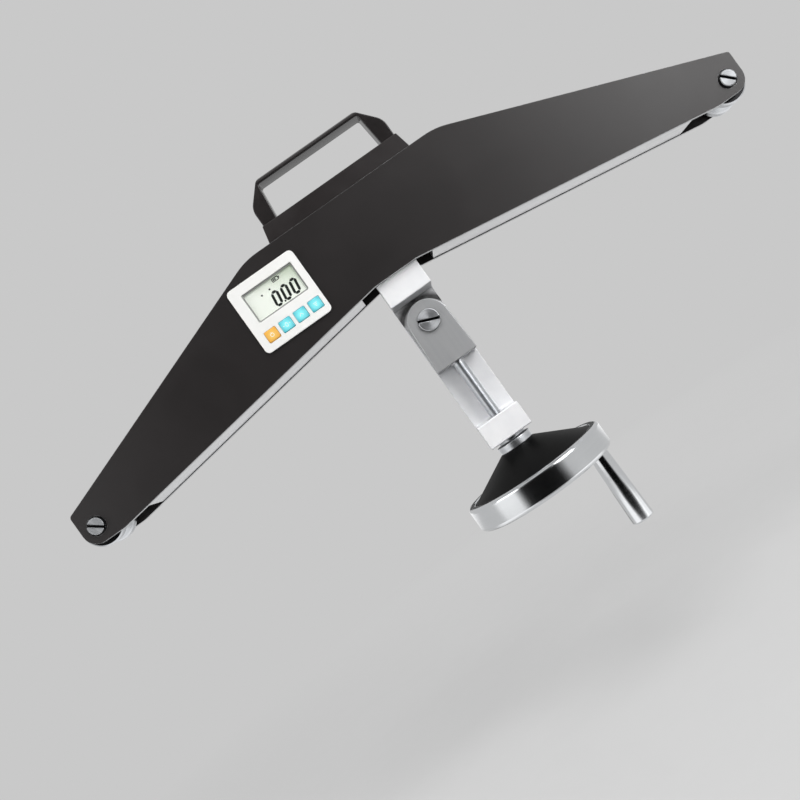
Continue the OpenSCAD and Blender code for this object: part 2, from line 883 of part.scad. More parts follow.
module wheel_nut() {
    nut_z = hub_low - wheel_washer_t;
    color("#b7babd") difference() {
        translate([0, 0, nut_z - wheel_nut_h]) cylinder(d = screw_d * 1.9, h = wheel_nut_h, $fn = 6);
        disc(screw_d + 2 * fit_gap, nut_z - wheel_nut_h - over, nut_z + over);
    }
}

// Shoulder screw on which the crank grip turns
module crank_spindle() {
    head_z = grip_low + cap_depth - spindle_head_t - side_gap;
    color("#b7babd") translate([crank_r, 0, 0]) difference() {
        union() {
            disc(spindle_d, head_z + over, rim_low + spindle_grip);
            disc(grip_d - 2 * flange_margin, rim_low - spindle_flange_t, rim_low);
            disc(spindle_head_d, head_z, head_z + spindle_head_t);
        }
        block(
            [-spindle_d, -slot_w / 2, head_z - over],
            [spindle_d, slot_w / 2, head_z + slot_depth]
        );
    }
}

module crank_grip() {
    bore_r = spindle_d / 2 + run_gap;
    cap_r = spindle_head_d / 2 + side_gap;
    color("#e2e4e6") translate([crank_r, 0, 0]) rotate_extrude() polygon(rounded(
        [
            [bore_r, grip_z], [bore_r, grip_low + cap_depth], [cap_r, grip_low + cap_depth],
            [cap_r, grip_low], [grip_end_d / 2, grip_low], [grip_d / 2, grip_z]
        ],
        [0, 0, 0, 0.4, 1.6, 1]
    ));
}

module at_display() {
    translate([-display_x, 0, axle_z + display_h]) children();
}

module at_window() {
    translate([face_side, 0, window_up]) children();
}

module at_key(index) {
    translate([face_side + (index - 1.5) * key_pitch, 0, -key_down]) children();
}

// White front with a boss that fills the plate's cut-out
module display_bezel() {
    rim = pane_rim + fit_gap;
    color("#f3f3f1") at_display() difference() {
        union() {
            slab(face_y, -y_out) polygon(round_rect(bezel_w, bezel_l, bezel_r));
            slab(-y_out - over / 2, -y_in) polygon(round_rect(boss_w, boss_l, boss_r));
        }
        at_window() {
            slab(face_y - over, -y_in + over) polygon(round_rect(window_w, window_l, 1));
            slab(pane_y, -y_in + over) polygon(round_rect(window_w + 2 * rim, window_l + 2 * rim, 1));
        }
        for (i = [0 : 3]) at_key(i) {
            slab(face_y - over, -y_in + over)
                polygon(round_rect(key_w + 2 * key_gap, key_l + 2 * key_gap, 1));
            slab(face_y + key_lip, -y_in + over) polygon(round_rect(
                key_w + 2 * (key_gap + key_rim), key_l + 2 * (key_gap + key_rim), 1
            ));
        }
        for (spot = board_spots) translate([spot[0], 0, spot[1]])
            bar_y(board_screw_d + 2 * fit_gap, -y_in - board_screw_grip - fit_gap, -y_in + over);
    }
}

module window_pane() {
    color("#dfe8e2") at_display() at_window() slab(pane_y, lcd_y)
        polygon(round_rect(window_w + 2 * pane_rim, window_l + 2 * pane_rim, 1));
}

module lcd_module() {
    color("#c8d4c4") at_display() at_window() slab(lcd_y, board_y)
        polygon(round_rect(window_w + 2 * pane_rim, window_l + 2 * pane_rim, 1));
}

module circuit_board() {
    color("#2f6b3d") at_display() difference() {
        slab(board_y, board_y + board_t) polygon(round_rect(board_w, board_l, boss_r));
        for (spot = board_spots) translate([spot[0], 0, spot[1]])
            bar_y(board_screw_d + 2 * fit_gap, board_y - over, board_y + board_t + over);
    }
}

module board_screws() {
    seat_y = board_y + board_t;
    color("#b7babd") at_display() for (spot = board_spots) translate([spot[0], 0, spot[1]]) {
        bar_y(board_screw_d, board_y - board_screw_grip, seat_y + fit_gap);
        bar_y(board_head_d, seat_y, seat_y + board_head_h);
    }
}

module dome_pads() {
    color("#c9c9c4") at_display() for (i = [0 : 3]) at_key(i) slab(board_y - dome_t, board_y)
        polygon(round_rect(key_w, key_l, 1));
}

// Button cap with a rim that holds it behind the bezel
module button(index, tint) {
    cap_y = face_y + key_lip + side_gap;
    color(tint) at_display() at_key(index) {
        slab(face_y - key_proud, cap_y + fit_gap) polygon(round_rect(key_w, key_l, 1));
        slab(cap_y, cap_y + key_flange_t)
            polygon(round_rect(key_w + 2 * key_rim, key_l + 2 * key_rim, 1));
    }
}

module battery() {
    color("#3c6fa8") at_display() translate([0, y_in - battery_size[1] / 2, 0]) difference() {
        cube(battery_size, center = true);
        for (side = [-1, 1]) translate([0, -battery_size[1] / 2, side * battery_size[2] / 2])
            rotate([45, 0, 0]) cube([battery_size[0] + over, 4, 4], center = true);
    }
}

// Lead of the load cell, plugged into the circuit board
module sensor_lead() {
    plug_x = -display_x + board_w / 2;
    plug_y = board_y + board_t;
    lead_y = plug_y + lead_plug[1] - lead_d / 2 - lead_lift;
    color("#1c1c1c") translate([0, 0, cell_mid]) {
        translate([plug_x - lead_plug[0], plug_y, -lead_plug[2] / 2]) cube(lead_plug);
        translate([plug_x - over, lead_y, 0]) rotate([0, 90, 0])
            cylinder(d = lead_d, h = -cell_w / 2 - plug_x + over);
    }
}

module at_socket() {
    mirror([1, 0, 0]) translate([socket_x, 0, upper_edge(socket_x) - upper_set])
        rotate([0, upper_a, 0]) children();
}

module charge_socket() {
    color("#1f1f20") at_socket() {
        difference() {
            union() {
                disc(socket_d, -wall_t - over, over);
                disc(socket_body_d, -wall_t - socket_body_h, -wall_t);
                disc(socket_body_d, 0, socket_lip);
            }
            disc(socket_bore_d, -wall_t, 2 * over);
        }
        disc(socket_pin_d, -wall_t - over, -socket_pin_d);
    }
}

front_plate();
rear_plate();
lower_wall(-1);  // lower_wall_left
lower_wall(1);  // lower_wall_right
upper_wall(-1);  // upper_wall_left
upper_wall(1);  // upper_wall_right
top_beam();
plate_screws();
handle_base();
carry_handle();
handle_screws();
load_cell();
cell_bolt();
cell_stud();
pull_frame();
thread_bush();
end_axle(-1, slot_turn_left);  // end_axle_left
end_axle(1, slot_turn_right);  // end_axle_right
axle_spacers(-1);  // axle_spacers_left
axle_spacers(1);  // axle_spacers_right
end_roller(-1);  // end_roller_left
end_roller(1);  // end_roller_right
roller_bush(-1);  // roller_bush_left
roller_bush(1);  // roller_bush_right
clevis();
clevis_pin();
middle_roller();
middle_bush();
lead_screw();
thrust_washer();
swivel_nut();
hub_collar();
handwheel();
handwheel_rim();
wheel_key();
wheel_washer();
wheel_nut();
crank_spindle();
crank_grip();
display_bezel();
window_pane();
lcd_module();
circuit_board();
board_screws();
dome_pads();
button(0, "#f0a030");  // power_button
button(1, "#4fc3e8");  // zero_button
button(2, "#4fc3e8");  // peak_button
button(3, "#4fc3e8");  // unit_button
battery();
sensor_lead();
charge_socket();
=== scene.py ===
import math

import bmesh
import bpy
from mathutils import Matrix, Vector


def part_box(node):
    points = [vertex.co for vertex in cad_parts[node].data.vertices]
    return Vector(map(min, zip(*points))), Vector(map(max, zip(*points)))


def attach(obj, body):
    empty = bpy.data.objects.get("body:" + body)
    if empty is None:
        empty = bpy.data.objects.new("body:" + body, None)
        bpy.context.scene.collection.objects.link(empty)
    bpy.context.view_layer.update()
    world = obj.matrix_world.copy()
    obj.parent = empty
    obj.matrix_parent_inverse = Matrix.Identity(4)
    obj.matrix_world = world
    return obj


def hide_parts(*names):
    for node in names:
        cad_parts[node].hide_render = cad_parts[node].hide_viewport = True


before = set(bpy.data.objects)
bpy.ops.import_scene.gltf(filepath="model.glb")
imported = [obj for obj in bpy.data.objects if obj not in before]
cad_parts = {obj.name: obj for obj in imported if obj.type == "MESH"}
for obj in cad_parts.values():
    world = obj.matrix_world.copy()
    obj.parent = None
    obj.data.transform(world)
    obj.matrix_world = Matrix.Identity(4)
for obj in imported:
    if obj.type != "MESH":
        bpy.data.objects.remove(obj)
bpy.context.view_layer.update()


# Side plates. Two aluminium plates, cut to one long outline with an arched lower edge and dyed black,
# close the body in front and behind. Their cut edges are milled after dyeing, so they are bare.
# The walls along the shoulders and the beam under the handle are dyed with them.
PLATE_BLACK = "1c1919"
PLATE_FADED = "221e1e"
BARE_EDGE = "c9cacc"
PLATE_EDGE = 0.00025
NOISE_LOW = 0.3
NOISE_HIGH = 0.7
PATCHES_PER_METRE = 22.0
CHIPS_PER_METRE = 340.0


def linear(code):
    """Give the shader's colour for a hex code as a screen shows it."""
    parts = [int(code[i:i + 2], 16) / 255 for i in (0, 2, 4)]
    return [*(c / 12.92 if c <= 0.04045 else ((c + 0.055) / 1.055) ** 2.4 for c in parts), 1]


def add_node(tree, kind, inputs, **settings):
    """Add a shader node. Each input is a value, or a socket that is linked to it."""
    made = tree.nodes.new("ShaderNode" + kind)
    for name, value in settings.items():
        setattr(made, name, value)
    for name, value in inputs.items():
        if isinstance(value, bpy.types.NodeSocket):
            tree.links.new(value, made.inputs[name])
        else:
            made.inputs[name].default_value = value
    return made


def combine(tree, operation, *values):
    return add_node(tree, "Math", dict(enumerate(values)), operation=operation).outputs[0]


def combine_vectors(tree, operation, *vectors):
    return add_node(tree, "VectorMath", dict(enumerate(vectors)), operation=operation).outputs


def ramp(tree, value, start, end, low=0.0, high=1.0):
    """Give low up to start, high from end on, and a straight slope between them."""
    return add_node(tree, "MapRange", {
        "Value": value, "From Min": start, "From Max": end, "To Min": low, "To Max": high,
    }).outputs[0]


def noise(tree, place, per_metre, **shape):
    return add_node(tree, "TexNoise", {"Vector": place, "Scale": per_metre, **shape}).outputs["Fac"]


def spread(tree, mottle, low=0.0, high=1.0):
    """Stretch the middle range of a noise over the range from low to high."""
    return ramp(tree, mottle, NOISE_LOW, NOISE_HIGH, low, high)


def blend_colours(tree, mask, first, second):
    tones = [linear(tone) if isinstance(tone, str) else tone for tone in (first, second)]
    mixed = add_node(tree, "Mix", {0: mask, 6: tones[0], 7: tones[1]}, data_type="RGBA")
    return mixed.outputs[2]


def new_group(name, inputs, outputs):
    tree = bpy.data.node_groups.new(name, "ShaderNodeTree")
    for label, kind in inputs.items():
        tree.interface.new_socket(label, in_out="INPUT", socket_type="NodeSocket" + kind)
    for label, kind in outputs.items():
        tree.interface.new_socket(label, in_out="OUTPUT", socket_type="NodeSocket" + kind)
    return tree, tree.nodes.new("NodeGroupInput").outputs, tree.nodes.new("NodeGroupOutput").inputs


def use_group(tree, group, inputs):
    return add_node(tree, "Group", inputs, node_tree=group).outputs


def grain_group():
    tree, given, result = new_group(
        "surface_grain", {"Place": "Vector", "Grain": "Float"}, {"Fine": "Float", "Patches": "Float"}
    )
    per_metre = combine(tree, "DIVIDE", 1.0, given["Grain"])
    fine = noise(tree, given["Place"], per_metre, Detail=3.0, Roughness=0.6)
    patches = noise(tree, given["Place"], PATCHES_PER_METRE, Detail=4.0, Roughness=0.62, Distortion=0.4)
    tree.links.new(fine, result["Fine"])
    tree.links.new(patches, result["Patches"])
    return tree


def wear_group():
    tree, given, result = new_group(
        "edge_wear", {"Place": "Vector", "Width": "Float", "Amount": "Float"}, {"Mask": "Float"}
    )
    rounded = add_node(tree, "Bevel", {"Radius": given["Width"]}, samples=6)
    flat = add_node(tree, "NewGeometry", {})
    bend = combine_vectors(tree, "DOT_PRODUCT", rounded.outputs[0], flat.outputs["Normal"])["Value"]
    edge = ramp(tree, bend, start=0.99, end=0.8)
    chips = noise(tree, given["Place"], CHIPS_PER_METRE, Detail=3.0)
    broken = ramp(tree, chips, start=0.42, end=0.62, low=0.25)
    both = combine(tree, "MULTIPLY", edge, broken)
    worn = add_node(tree, "Math", {0: both, 1: given["Amount"]}, operation="MULTIPLY", use_clamp=True)
    tree.links.new(worn.outputs[0], result["Mask"])
    return tree


def flank_group():
    tree, given, result = new_group("flank_faces", {"Limit": "Float"}, {"Mask": "Float"})
    normal = add_node(tree, "NewGeometry", {}).outputs["Normal"]
    facing = add_node(tree, "SeparateXYZ", {0: normal}).outputs
    along = combine(tree, "ABSOLUTE", facing["Y"])
    tree.links.new(combine(tree, "GREATER_THAN", along, given["Limit"]), result["Mask"])
    return tree


surface_grain = grain_group()
edge_wear = wear_group()
flank_faces = flank_group()


def new_finish(name, sockets):
    finish = bpy.data.materials.new(name)
    finish.use_nodes = True
    tree = finish.node_tree
    shader = tree.nodes["Principled BSDF"]
    for socket, value in sockets.items():
        shader.inputs[socket].default_value = value
    place = add_node(tree, "TexCoord", {}).outputs["Object"]
    return finish, tree, shader, place


def raise_surface(tree, shader, height, depth):
    bump = add_node(tree, "Bump", {"Height": height, "Distance": depth, "Strength": 1.0})
    tree.links.new(bump.outputs[0], shader.inputs["Normal"])


def dress(finish, *names):
    for name in names:
        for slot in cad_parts[name].material_slots:
            slot.material = finish


def soften(width, *names):
    """Break the sharp edges of the named nodes, as a file or a tumbler does."""
    for name in names:
        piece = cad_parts[name]
        piece.modifiers.new("joined", "WELD").merge_threshold = 0.000001
        flat = piece.modifiers.new("flat", "DECIMATE")
        flat.decimate_type = "DISSOLVE"
        flat.angle_limit = math.radians(0.2)
        edge = piece.modifiers.new("edge", "BEVEL")
        edge.width = width
        edge.segments = 2
        edge.limit_method = "ANGLE"
        edge.angle_limit = math.radians(35)
        edge.use_clamp_overlap = False
        piece.modifiers.new("shading", "WEIGHTED_NORMAL").weight = 80


def dyed_black(name, edges_bare):
    finish, tree, shader, place = new_finish(name, {"IOR": 1.5})
    grain = use_group(tree, surface_grain, {"Place": place, "Grain": 0.0006})
    wear = use_group(tree, edge_wear, {"Place": place, "Width": 0.0008, "Amount": 0.8})
    tone = blend_colours(tree, grain["Patches"], PLATE_BLACK, PLATE_FADED)
    bare = wear["Mask"]
    if edges_bare:
        flank = use_group(tree, flank_faces, {"Limit": 0.7})["Mask"]
        cut = combine(tree, "SUBTRACT", 1.0, flank)
        bare = combine(tree, "MAXIMUM", cut, bare)
    tree.links.new(blend_colours(tree, bare, tone, BARE_EDGE), shader.inputs["Base Color"])
    tree.links.new(bare, shader.inputs["Metallic"])
    tree.links.new(spread(tree, grain["Patches"], low=0.38, high=0.43), shader.inputs["Roughness"])
    raise_surface(tree, shader, grain["Fine"], depth=0.00003)
    return finish


dress(dyed_black("plate_dyed_black", edges_bare=True), "front_plate", "rear_plate")
dress(dyed_black("wall_dyed_black", edges_bare=False), "upper_wall_left", "upper_wall_right", "top_beam")
soften(PLATE_EDGE, "front_plate", "rear_plate")


# Lower walls. Two bars of milled aluminium lie between the plates along the arched lower edge and space
# them apart. They stay bright, with the cutter's fine lines along their length.
WALL_BRIGHT = "eaebec"
WALL_SHADE = "dfe0e2"
WALL_EDGE = 0.0004
DRAWN_WORN = "f2f2f3"


def lines_group():
    tree, given, result = new_group(
        "drawn_lines", {"Place": "Vector", "Per Metre": "Vector"}, {"Lines": "Float", "Streaks": "Float"}
    )
    stretched = combine_vectors(tree, "MULTIPLY", given["Place"], given["Per Metre"])["Vector"]
    tree.links.new(noise(tree, stretched, 1.0, Detail=4.0), result["Lines"])
    tree.links.new(noise(tree, stretched, 0.11, Detail=2.0), result["Streaks"])
    return tree


drawn_lines = lines_group()


def drawn_metal(name, tone, darker, per_metre, rough, depth, metallic=1.0):
    finish, tree, shader, place = new_finish(name, {"Metallic": metallic})
    lines = use_group(tree, drawn_lines, {"Place": place, "Per Metre": per_metre})
    wear = use_group(tree, edge_wear, {"Place": place, "Width": 0.0006, "Amount": 0.8})
    drawn = blend_colours(tree, spread(tree, lines["Streaks"]), tone, darker)
    tree.links.new(blend_colours(tree, wear["Mask"], drawn, DRAWN_WORN), shader.inputs["Base Color"])
    tree.links.new(spread(tree, lines["Lines"], rough - 0.06, rough + 0.06), shader.inputs["Roughness"])
    raise_surface(tree, shader, lines["Lines"], depth)
    return finish


wall_finish = drawn_metal(
    "wall_milled", WALL_BRIGHT, WALL_SHADE, per_metre=(60, 2600, 2600), rough=0.34, depth=0.000006,
    metallic=0.9,
)
dress(wall_finish, "lower_wall_left", "lower_wall_right")
soften(WALL_EDGE, "lower_wall_left", "lower_wall_right")


# Screws, bolt and stud. Zinc plated steel: countersunk screws from the rear pull the plates against the
# walls and the beam, socket screws hold the handle from below, and a bolt and a stud hold the load cell.
ZINC = "b9bdc2"
ZINC_SHADE = "9ea3aa"
zinc = drawn_metal("zinc_plated", ZINC, ZINC_SHADE, per_metre=(900, 900, 900), rough=0.34, depth=0.00002)
dress(zinc, "plate_screws", "handle_screws", "cell_bolt", "cell_stud", "board_screws")


# Load cell. An S shaped block of nickel plated steel hangs from the beam and carries the pull frame.
# It is milled all over, and its lead goes to the circuit board.
NICKEL = "c2c4c6"
NICKEL_SHADE = "b0b2b5"
CELL_EDGE = 0.0005
cell_finish = drawn_metal(
    "cell_nickel", NICKEL, NICKEL_SHADE, per_metre=(1500, 200, 1500), rough=0.28, depth=0.00002
)
dress(cell_finish, "load_cell")
soften(CELL_EDGE, "load_cell")


# End rollers and axles. Steel rollers with flat flanks coloured near black and a turned groove run on
# bronze bushes, on axles with slotted heads in front. The heads are faced on a lathe, so their lines run
# round the axle.
ROLLER_STEEL = "d8dadd"
ROLLER_SHADE = "c2c5c8"
ROLLER_BLACK = "1e1e1f"
AXLE_STEEL = "b9bbbd"
AXLE_SHADE = "adafb2"
AXLE_EDGE = 0.0005
BRONZE = "b98d4a"
BRONZE_SHADE = "9c7238"
TURNED_WORN = "eeeff0"
TURNED_PITCH = 0.00025
BANDS_PER_METRE = 420.0
# Painted shade in the slots and round the sides of the slotted heads.
SLOT_PAINTED_SHADE = "1f1f20"
SLOT_DEEP = 0.0024
HEAD_SHADE_STARTS = 0.0004
HEAD_SHADE_FULL = 0.0010
ALONG_Y = (math.pi / 2, 0, 0)
ALONG_Z = (0, 0, 0)


def turned_group():
    tree, given, result = new_group(
        "turned_lines", {"Place": "Vector", "Pitch": "Float"}, {"Lines": "Float", "Bands": "Float"}
    )
    parts = add_node(tree, "SeparateXYZ", {0: given["Place"]}).outputs
    flat = add_node(tree, "CombineXYZ", {"X": parts["X"], "Y": parts["Y"]}).outputs[0]
    radius = combine_vectors(tree, "LENGTH", flat)["Value"]
    profile = add_node(tree, "CombineXYZ", {"X": radius, "Y": parts["Z"]}).outputs[0]
    per_metre = combine(tree, "DIVIDE", 1.0, given["Pitch"])
    tree.links.new(noise(tree, profile, per_metre, Detail=3.0), result["Lines"])
    tree.links.new(noise(tree, profile, BANDS_PER_METRE, Detail=2.0), result["Bands"])
    return tree


turned_lines = turned_group()


def turned_metal(name, tone, darker, centre, axis, rough, depth, flanks=None):
    finish, tree, shader, place = new_finish(name, {"Metallic": 1.0})
    moved = combine_vectors(tree, "SUBTRACT", place, centre)["Vector"]
    turned = add_node(tree, "Mapping", {"Vector": moved, "Rotation": axis}).outputs[0]
    lines = use_group(tree, turned_lines, {"Place": turned, "Pitch": TURNED_PITCH})
    wear = use_group(tree, edge_wear, {"Place": place, "Width": 0.0004, "Amount": 0.6})
    bands = blend_colours(tree, spread(tree, lines["Bands"]), tone, darker)
    if flanks:
        flat = use_group(tree, flank_faces, {"Limit": 0.98})["Mask"]
        bands = blend_colours(tree, flat, bands, flanks)
    tree.links.new(blend_colours(tree, wear["Mask"], bands, TURNED_WORN), shader.inputs["Base Color"])
    tree.links.new(spread(tree, lines["Lines"], rough - 0.05, rough + 0.07), shader.inputs["Roughness"])
    raise_surface(tree, shader, lines["Lines"], depth)
    return finish


def faced_metal(name, tone, darker, low, high, rough):
    """Turned metal whose gleam runs round the head, with painted shade in the head's slot and round its
    side.
    """
    centre = (low + high) / 2
    finish = turned_metal(name, tone, darker, centre, ALONG_Y, rough, depth=0.00001)
    tree = finish.node_tree
    shader = tree.nodes["Principled BSDF"]
    shader.inputs["Anisotropic"].default_value = 0.7
    place = tree.nodes["Texture Coordinate"].outputs["Object"]
    reach = combine_vectors(tree, "SUBTRACT", place, centre)["Vector"]
    around = combine_vectors(tree, "CROSS_PRODUCT", reach, (0, 1, 0))["Vector"]
    tree.links.new(around, shader.inputs["Tangent"])
    # Paint the slot and the side of the head dark, as shade, from just behind the face down to the slot's
    # depth.
    deep = add_node(tree, "SeparateXYZ", {0: place}).outputs["Y"]
    below_face = ramp(tree, deep, low.y + HEAD_SHADE_STARTS, low.y + HEAD_SHADE_FULL)
    in_head = combine(tree, "LESS_THAN", deep, low.y + SLOT_DEEP)
    head_shade = combine(tree, "MULTIPLY", below_face, in_head)
    faced = shader.inputs["Base Color"].links[0].from_socket
    tree.links.new(blend_colours(tree, head_shade, faced, SLOT_PAINTED_SHADE), shader.inputs["Base Color"])
    return finish


for end in ("left", "right"):
    low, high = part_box("end_axle_" + end)
    centre = (low + high) / 2
    axle_finish = faced_metal("axle_faced_" + end, AXLE_STEEL, AXLE_SHADE, low, high, rough=0.6)
    dress(axle_finish, "end_axle_" + end, "axle_spacers_" + end)
    soften(AXLE_EDGE, "end_axle_" + end)
    roller_finish = turned_metal(
        "roller_turned_" + end, ROLLER_STEEL, ROLLER_SHADE, centre, ALONG_Y, rough=0.26, depth=0.00001,
        flanks=ROLLER_BLACK,
    )
    dress(roller_finish, "end_roller_" + end)
    bush_finish = turned_metal(
        "bush_bronze_" + end, BRONZE, BRONZE_SHADE, centre, ALONG_Y, rough=0.3, depth=0.00002
    )
    dress(bush_finish, "roller_bush_" + end)


# Carry handle and its base. Both are moulded in black plastic: a tapered base block on the top edge of
# the body, and a bridge handle that two screws hold from below through the base.
HANDLE_BLACK = "1c1a1a"
HANDLE_RUBBED = "2a2727"
HANDLE_EDGE = 0.0009
BASE_BLACK = "211d1d"
BASE_RUBBED = "282424"
BASE_EDGE = 0.0006


def moulded(name, tone, rubbed, rough, grain, depth, sockets=None):
    finish, tree, shader, place = new_finish(name, sockets or {})
    surface = use_group(tree, surface_grain, {"Place": place, "Grain": grain})
    wear = use_group(tree, edge_wear, {"Place": place, "Width": 0.0007, "Amount": 0.5})
    patched = blend_colours(tree, spread(tree, surface["Patches"]), tone, rubbed)
    tree.links.new(blend_colours(tree, wear["Mask"], patched, rubbed), shader.inputs["Base Color"])
    tree.links.new(spread(tree, surface["Patches"], rough - 0.05, rough + 0.06), shader.inputs["Roughness"])
    raise_surface(tree, shader, surface["Fine"], depth)
    return finish


handle_finish = moulded(
    "handle_moulded", HANDLE_BLACK, HANDLE_RUBBED, rough=0.16, grain=0.005, depth=0.000004
)
base_finish = moulded("base_moulded", BASE_BLACK, BASE_RUBBED, rough=0.34, grain=0.0005, depth=0.00002)
dress(handle_finish, "carry_handle")
dress(base_finish, "handle_base")
soften(HANDLE_EDGE, "carry_handle")
soften(BASE_EDGE, "handle_base")


# Pull frame. One block of steel, milled to a C that is open to the front, blasted and plated to a pale
# satin. It hangs from the load cell, and a bush in its foot holds the screw.
# A smudged dark arc is painted on its web, round the place where the clevis parks: painted shade, for the
# shadow under the block and round the clevis top.
FRAME_PALE = "f4f4f5"
FRAME_SHADE = "e2e3e6"
FRAME_WORN = "f8f8f8"
FRAME_EDGE = 0.0005
GUIDE_GAP = 0.0003
# Colour and sizes of the painted shade on the web, under the block and round the clevis top.
PAINTED_SHADE_DARK = "201e1e"
SHADE_ARC = (0.0006, 0.0030, 0.0056, 0.0095)
SHADE_THIN = 0.35
SHADE_FOOT = 0.0
SHADE_RISE = 0.006
SHADE_TOP = 0.0187
SHADE_TOP_EDGE = 0.0002
SHADE_FRONT = (0.006, 0.002)
SHADE_BACK = (0.0004, 0.0002)
SHADE_MOTTLE_SIZE = 0.006
SHADE_MOTTLE_LOW = 0.86
BUSH_STEEL = "c9cbce"
BUSH_SHADE = "a9acb0"
BUSH_EDGE = 0.0004


def painted_shade_mask(tree, place):
    """Mask the painted shade, an arc on the web that lies just outside the round top of the parked clevis.
    """
    fork_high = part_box("clevis")[1]
    fork_round = Vector((0, 0, fork_high.z - fork_high.x))
    web_y = fork_high.y + GUIDE_GAP
    spot = add_node(tree, "SeparateXYZ", {0: place}).outputs
    off_round = combine_vectors(tree, "SUBTRACT", place, fork_round)["Vector"]
    in_plane = combine_vectors(tree, "MULTIPLY", off_round, (1, 0, 1))["Vector"]
    reach = combine_vectors(tree, "LENGTH", in_plane)["Value"]
    arc_in, arc_full, arc_thin, arc_out = (fork_high.x + step for step in SHADE_ARC)
    front_out, front_full = (web_y - step for step in SHADE_FRONT)
    back_out, back_full = (web_y + step for step in SHADE_BACK)
    shade_mottle = use_group(tree, surface_grain, {"Place": place, "Grain": SHADE_MOTTLE_SIZE})["Fine"]
    mask = spread(tree, shade_mottle, low=SHADE_MOTTLE_LOW)
    for limit in (
        ramp(tree, reach, arc_in, arc_full),
        ramp(tree, reach, arc_out, arc_thin, low=SHADE_THIN),
        ramp(tree, spot["Z"], SHADE_FOOT, SHADE_FOOT + SHADE_RISE),
        ramp(tree, spot["Z"], SHADE_TOP + SHADE_TOP_EDGE, SHADE_TOP),
        ramp(tree, spot["Y"], front_out, front_full),
        ramp(tree, spot["Y"], back_out, back_full),
    ):
        mask = combine(tree, "MULTIPLY", mask, limit)
    return mask


def blasted_frame():
    finish, tree, shader, place = new_finish("frame_blasted", {"Metallic": 0.1})
    grain = use_group(tree, surface_grain, {"Place": place, "Grain": 0.0004})
    wear = use_group(tree, edge_wear, {"Place": place, "Width": 0.0008, "Amount": 0.6})
    pale = blend_colours(tree, spread(tree, grain["Patches"]), FRAME_PALE, FRAME_SHADE)
    worn = blend_colours(tree, wear["Mask"], pale, FRAME_WORN)
    # Paint the dark arc of shade onto the web.
    shaded_web = blend_colours(tree, painted_shade_mask(tree, place), worn, PAINTED_SHADE_DARK)
    tree.links.new(shaded_web, shader.inputs["Base Color"])
    tree.links.new(spread(tree, grain["Fine"], low=0.36, high=0.46), shader.inputs["Roughness"])
    raise_surface(tree, shader, grain["Fine"], depth=0.00002)
    return finish


dress(blasted_frame(), "pull_frame")
soften(FRAME_EDGE, "pull_frame")
bush_finish = turned_metal(
    "thread_bush_steel", BUSH_STEEL, BUSH_SHADE, (0, 0, 0), ALONG_Z, rough=0.28, depth=0.00002
)
dress(bush_finish, "thread_bush", "thrust_washer")
soften(BUSH_EDGE, "thread_bush")


# Clevis, its pin and the middle roller. The clevis is a steel fork with a round top, ground along its
# length, and the rope rides on the small grooved roller between its cheeks. The pin has a slotted head.
CLEVIS_GREY = "b2b3b4"
CLEVIS_SHADE = "acadaf"
CLEVIS_EDGE = 0.0009
PIN_STEEL = "cfd1d4"
PIN_SHADE = "c0c2c5"
PIN_EDGE = 0.0006
low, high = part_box("clevis_pin")
centre = (low + high) / 2
clevis_finish = drawn_metal(
    "clevis_ground", CLEVIS_GREY, CLEVIS_SHADE, per_metre=(2400, 2400, 90), rough=0.42, depth=0.000004,
    metallic=0.5,
)
dress(clevis_finish, "clevis")
soften(CLEVIS_EDGE, "clevis")
dress(faced_metal("pin_faced", PIN_STEEL, PIN_SHADE, low, high, rough=0.45), "clevis_pin")
soften(PIN_EDGE, "clevis_pin")
middle_finish = turned_metal(
    "middle_turned", ROLLER_STEEL, ROLLER_SHADE, centre, ALONG_Y, rough=0.16, depth=0.00001
)
dress(middle_finish, "middle_roller")
bush_finish = turned_metal(
    "middle_bronze", BRONZE, BRONZE_SHADE, centre, ALONG_Y, rough=0.3, depth=0.00002
)
dress(bush_finish, "middle_bush")


# Lead screw. A ground steel rod with a fine two-start thread of 2 mm lead lifts the clevis. Its neck
# swivels in the clevis, held by a nut, and its plain foot carries the collar and the handwheel.
ROD_STEEL = "d9dbde"
ROD_SHADE = "c9ccd0"
ROD_SIDES = 64
ROD_FOOT_EDGE = 0.0008
NECK_R = 0.0035
THREAD_LEAD = 0.002
THREAD_STARTS = 2
THREAD_DEPTH = 0.00045
THREAD_RUNOUT = 0.0012
THREAD_STEPS = 36
SWIVEL_GAP = 0.0001
COLLAR_EDGE = 0.0005
ALIGNED = 0.9
rod_low, rod_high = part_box("lead_screw")
rod_r = rod_high.y
tooth_r = THREAD_LEAD / THREAD_STARTS / 2
foot_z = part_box("hub_collar")[1].z
shoulder_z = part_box("thrust_washer")[0].z - SWIVEL_GAP


def start_piece(name, add, scale=(1, 1, 1), **size):
    """Add a primitive with nothing else selected, and put its place into its mesh."""
    bpy.ops.object.select_all(action="DESELECT")
    add(**size)
    piece = bpy.context.object
    piece.name = name
    piece.scale = scale
    bpy.ops.object.transform_apply(location=True, rotation=True, scale=True)
    return piece


def open_mesh():
    bpy.ops.object.mode_set(mode="EDIT")
    bpy.ops.mesh.select_all(action="SELECT")


def close_mesh():
    bpy.ops.object.mode_set(mode="OBJECT")


def pick(kind, test):
    """Select those corners, edges or faces of the open mesh that pass the test."""
    bpy.ops.mesh.select_mode(type=kind)
    bpy.ops.mesh.select_all(action="DESELECT")
    shape = bmesh.from_edit_mesh(bpy.context.object.data)
    for each in {"VERT": shape.verts, "EDGE": shape.edges, "FACE": shape.faces}[kind]:
        each.select_set(test(each))
    bmesh.update_edit_mesh(bpy.context.object.data)


def pick_faces(direction):
    pick("FACE", lambda face: face.normal.dot(Vector(direction)) > ALIGNED)


def extrude(move):
    bpy.ops.mesh.extrude_region_move(TRANSFORM_OT_translate={"value": move})


def join_pieces(piece, others):
    bpy.ops.object.select_all(action="DESELECT")
    for each in (*others, piece):
        each.select_set(True)
    bpy.context.view_layer.objects.active = piece
    bpy.ops.object.join()


